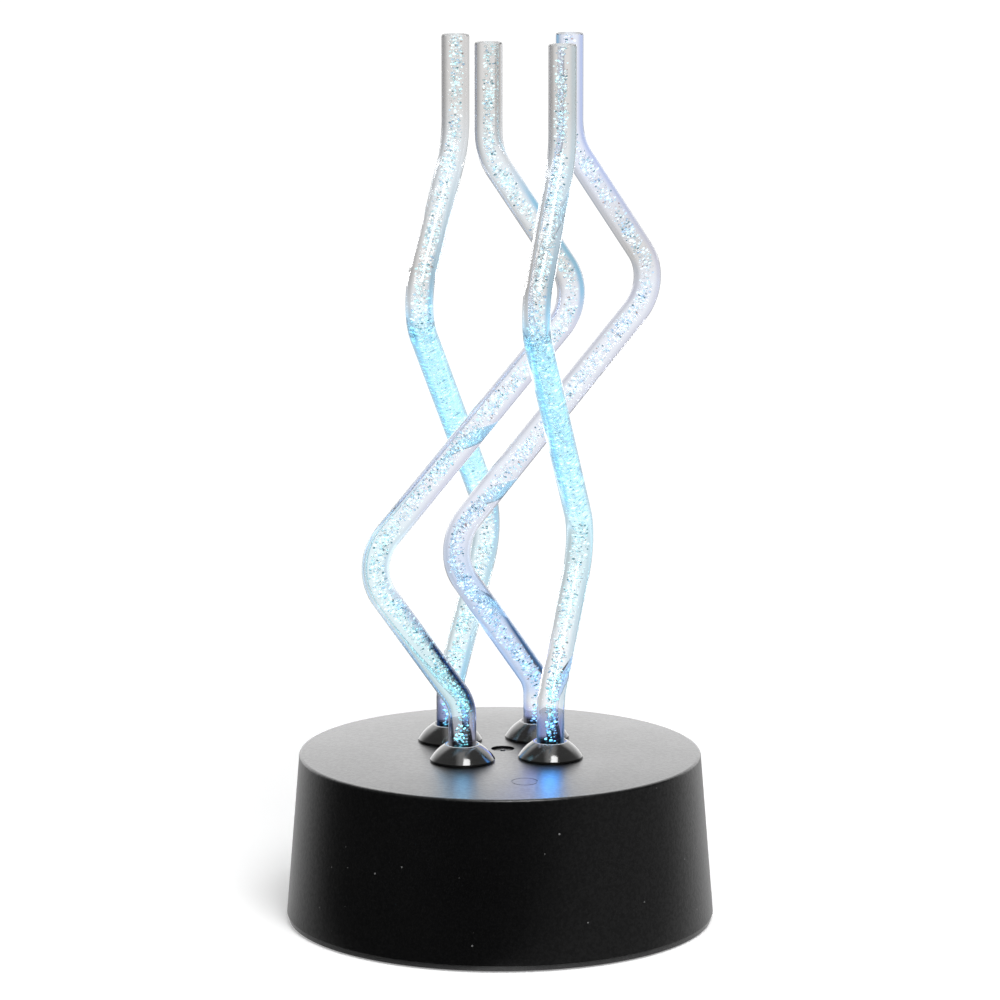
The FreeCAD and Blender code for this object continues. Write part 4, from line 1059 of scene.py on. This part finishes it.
def hypotenuse(tree, x, y):
    """The square root of x x + y y."""
    squares = maths(tree, "ADD", maths(tree, "MULTIPLY", x, x), maths(tree, "MULTIPLY", y, y))
    return maths(tree, "SQRT", squares)


def lead_pads(tree, place):
    """A row of round pads, 1.8 mm wide at a 2.5 mm pitch, kept within 6 mm of the board's middle."""
    parts = axes_of(tree, place)
    shifted = maths(tree, "ADD", parts["X"], 8.5 * pad_pitch)
    x = maths(tree, "SUBTRACT", maths(tree, "PINGPONG", shifted, pad_pitch / 2), pad_pitch / 2)
    y = maths(tree, "SUBTRACT", parts["Y"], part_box("led_leads")[1].y - pad_row_inset)
    kept = maths(tree, "LESS_THAN", maths(tree, "ABSOLUTE", parts["X"]), pad_row_reach)
    return maths(tree, "MULTIPLY", kept, maths(tree, "LESS_THAN", hypotenuse(tree, x, y), pad_radius))


green_board = circuit_board(
    "green_control_board", (0.012, 0.12, 0.045), (0.03, 0.20, 0.08), bus_traces, lead_pads)
dress(green_board, "control_board")


# ----------------------------------------------------------
# Controller chip
# A flat package of black epoxy that runs the colours, with a small round dimple at its first corner.

chip_low, chip_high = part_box("controller_chip")
dimple_inset = 0.0012
dimple_radius = 0.0005
material, tree = blank_material("black_epoxy_package")
place = object_place(tree)
off_dimple = distance_from(tree, place, chip_low.x + dimple_inset, chip_high.y - dimple_inset)
dimple = maths(tree, "LESS_THAN", off_dimple, dimple_radius)
finish_material(tree, {
    "Base Color": colour_mix(tree, dimple, (0.018,) * 3, (0.05,) * 3),
    "Roughness": blend(tree, dimple, 0.6, 0.25),
    "Normal": bumped(tree, noise(tree, place, 5000.0, 2.0), 0.000005)})
dress(material, "controller_chip")


# ----------------------------------------------------------
# Capacitor
# An upright can in a dark blue sleeve with a pale stripe down its negative side. Its bare aluminium top is
# scored with a cross.

can_low, can_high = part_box("capacitor")
can_x, can_y = (can_low.x + can_high.x) / 2, (can_low.y + can_high.y) / 2
stripe_start = 0.0021
lid_radius = 0.0021
score_half_width = 0.00012
material, tree = blank_material("capacitor_sleeve")
place = object_place(tree)
x, y, z = axes_of(tree, place)
stripe = maths(tree, "GREATER_THAN", x, can_x + stripe_start)
lid = maths(tree, "MULTIPLY", maths(tree, "GREATER_THAN", z, can_high.z - 0.0001),
            maths(tree, "LESS_THAN", distance_from(tree, place, can_x, can_y), lid_radius))
scores = [
    maths(tree, "LESS_THAN", maths(tree, "ABSOLUTE", maths(tree, "SUBTRACT", at, middle)), score_half_width)
    for at, middle in ((x, can_x), (y, can_y))]
score = maths(tree, "MULTIPLY", maths(tree, "MAXIMUM", *scores), lid)
sleeve = colour_mix(tree, stripe, (0.012, 0.02, 0.07), (0.45, 0.5, 0.58))
finish_material(tree, {
    "Base Color": colour_mix(tree, lid, sleeve, (0.75, 0.75, 0.76)),
    "Metallic": lid,
    "Roughness": 0.3,
    "Normal": bumped(tree, maths(tree, "SUBTRACT", 1.0, score), 0.0001)})
dress(material, "capacitor")


# ----------------------------------------------------------
# Switch, plunger and button
# The switch body is black nylon, its plunger white acetal, and the round button in the back wall is a satin
# charcoal cap with a fine turned grain on its face.

switch_nylon = moulded_plastic(
    "switch_nylon", (0.022,) * 3, (0.016,) * 3,
    roughness=0.5, roughness_drift=0.08, grain_size=0.0004, grain_depth=0.000006, specular=0.4)
dress(switch_nylon, "switch_body")
acetal = moulded_plastic(
    "white_acetal", (0.72, 0.70, 0.66), (0.62, 0.60, 0.56),
    roughness=0.35, roughness_drift=0.06, grain_size=0.0004, grain_depth=0.000003, specular=0.5)
dress(acetal, "switch_plunger")


def from_axis(tree, parts, x, z):
    """Distance from a line along Y."""
    return hypotenuse(tree, maths(tree, "SUBTRACT", parts["X"], x), maths(tree, "SUBTRACT", parts["Z"], z))


button_low, button_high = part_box("power_button")
button_x, button_z = (button_low.x + button_high.x) / 2, (button_low.z + button_high.z) / 2
ring_radians_per_metre = 28000.0
material, tree = blank_material("satin_charcoal")
off_axis = from_axis(tree, axes_of(tree, object_place(tree)), button_x, button_z)
turned = maths(tree, "SINE", maths(tree, "MULTIPLY", off_axis, ring_radians_per_metre))
finish_material(tree, {
    "Base Color": (0.035, 0.035, 0.037),
    "Roughness": 0.36,
    "Specular IOR Level": 0.5,
    "Normal": bumped(tree, turned, 0.000006, strength=0.6)})
dress(material, "power_button")


# ----------------------------------------------------------
# Power inlet
# A barrel socket of black nylon in the back wall, with a nickel-plated pin standing in its bore.

inlet_low, inlet_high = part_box("power_inlet")
inlet_x = (inlet_low.x + inlet_high.x) / 2
pin_radius = 0.00105
bore_depth = 0.0099
material, tree = blank_material("inlet_nylon_and_pin")
parts = axes_of(tree, object_place(tree))
pin = maths(tree, "MULTIPLY", maths(tree, "LESS_THAN", from_axis(tree, parts, inlet_x, button_z), pin_radius),
            maths(tree, "GREATER_THAN", parts["Y"], inlet_high.y - bore_depth))
finish_material(tree, {
    "Base Color": colour_mix(tree, pin, (0.018,) * 3, (0.72, 0.70, 0.66)),
    "Metallic": pin,
    "Roughness": blend(tree, pin, 0.48, 0.22)})
dress(material, "power_inlet")


# ----------------------------------------------------------
# Battery cells
# Three AA cells, each in a charcoal film sleeve with a copper band at its positive end. Both ends are bare
# nickel-plated steel, and each cell lies the other way round from its neighbour.

sleeve_half_length = 0.0243
band_start = 0.0130
line_width = 0.0006
positive_sides = {"battery_cell_front": 1.0, "battery_cell_middle": -1.0, "battery_cell_back": 1.0}
for name, side in positive_sides.items():
    material, tree = blank_material(name + "_wrap")
    place = object_place(tree)
    along = maths(tree, "MULTIPLY", axes_of(tree, place)["X"], side)
    bare = maths(tree, "GREATER_THAN", maths(tree, "ABSOLUTE", along), sleeve_half_length)
    band = maths(tree, "GREATER_THAN", along, band_start)
    line = between(tree, along, band_start - 2 * line_width, band_start - line_width)
    film = colour_mix(tree, band, (0.028, 0.030, 0.034), (0.56, 0.25, 0.10))
    film = colour_mix(tree, line, film, (0.55, 0.56, 0.58))
    finish_material(tree, {
        "Base Color": colour_mix(tree, bare, film, (0.70, 0.69, 0.66)),
        "Metallic": maths(tree, "MAXIMUM", bare, maths(tree, "MULTIPLY", band, 0.7)),
        "Roughness": blend(tree, bare, 0.28, 0.24),
        "Normal": bumped(tree, noise(tree, place, 350.0, 2.0), 0.00002)})
    dress(material, name)


# ----------------------------------------------------------
# Battery contacts
# Plates and leaves stamped from nickel-plated spring steel, with faint lines along the way that the strip
# was rolled.

nickel = brushed_metal(
    "nickel_plate", (0.70, 0.68, 0.63), (0.58, 0.56, 0.51), 0.26, (400.0, 400.0, 3000.0))
dress(nickel, "contact_positive", "contact_negative", "contact_bridge_front", "contact_bridge_back")


# ----------------------------------------------------------
# Leads
# Stranded leads in soft PVC: red and black from the battery bay, and a flat row of four grey ones up to the
# LED board, the first of them marked red.

def pvc(name, colour, first_x=None):
    """Soft PVC with a dull sheen; leads left of first_x are red."""
    material, tree = blank_material(name)
    place = object_place(tree)
    cloud = noise(tree, place, 300.0, 2.0)
    shown = colour
    if first_x is not None:
        first = maths(tree, "LESS_THAN", axes_of(tree, place)["X"], first_x)
        shown = colour_mix(tree, first, colour, (0.45, 0.02, 0.015))
    finish_material(tree, {
        "Base Color": shown,
        "Roughness": maths(tree, "MULTIPLY_ADD", cloud, 0.15, 0.38),
        "Normal": bumped(tree, cloud, 0.00002)})
    return material


dress(pvc("red_pvc", (0.42, 0.015, 0.012)), "battery_lead_positive")
dress(pvc("black_pvc", (0.015, 0.015, 0.015)), "battery_lead_negative")
dress(pvc("grey_pvc", (0.25, 0.25, 0.26), first_x=-0.0025), "led_leads")
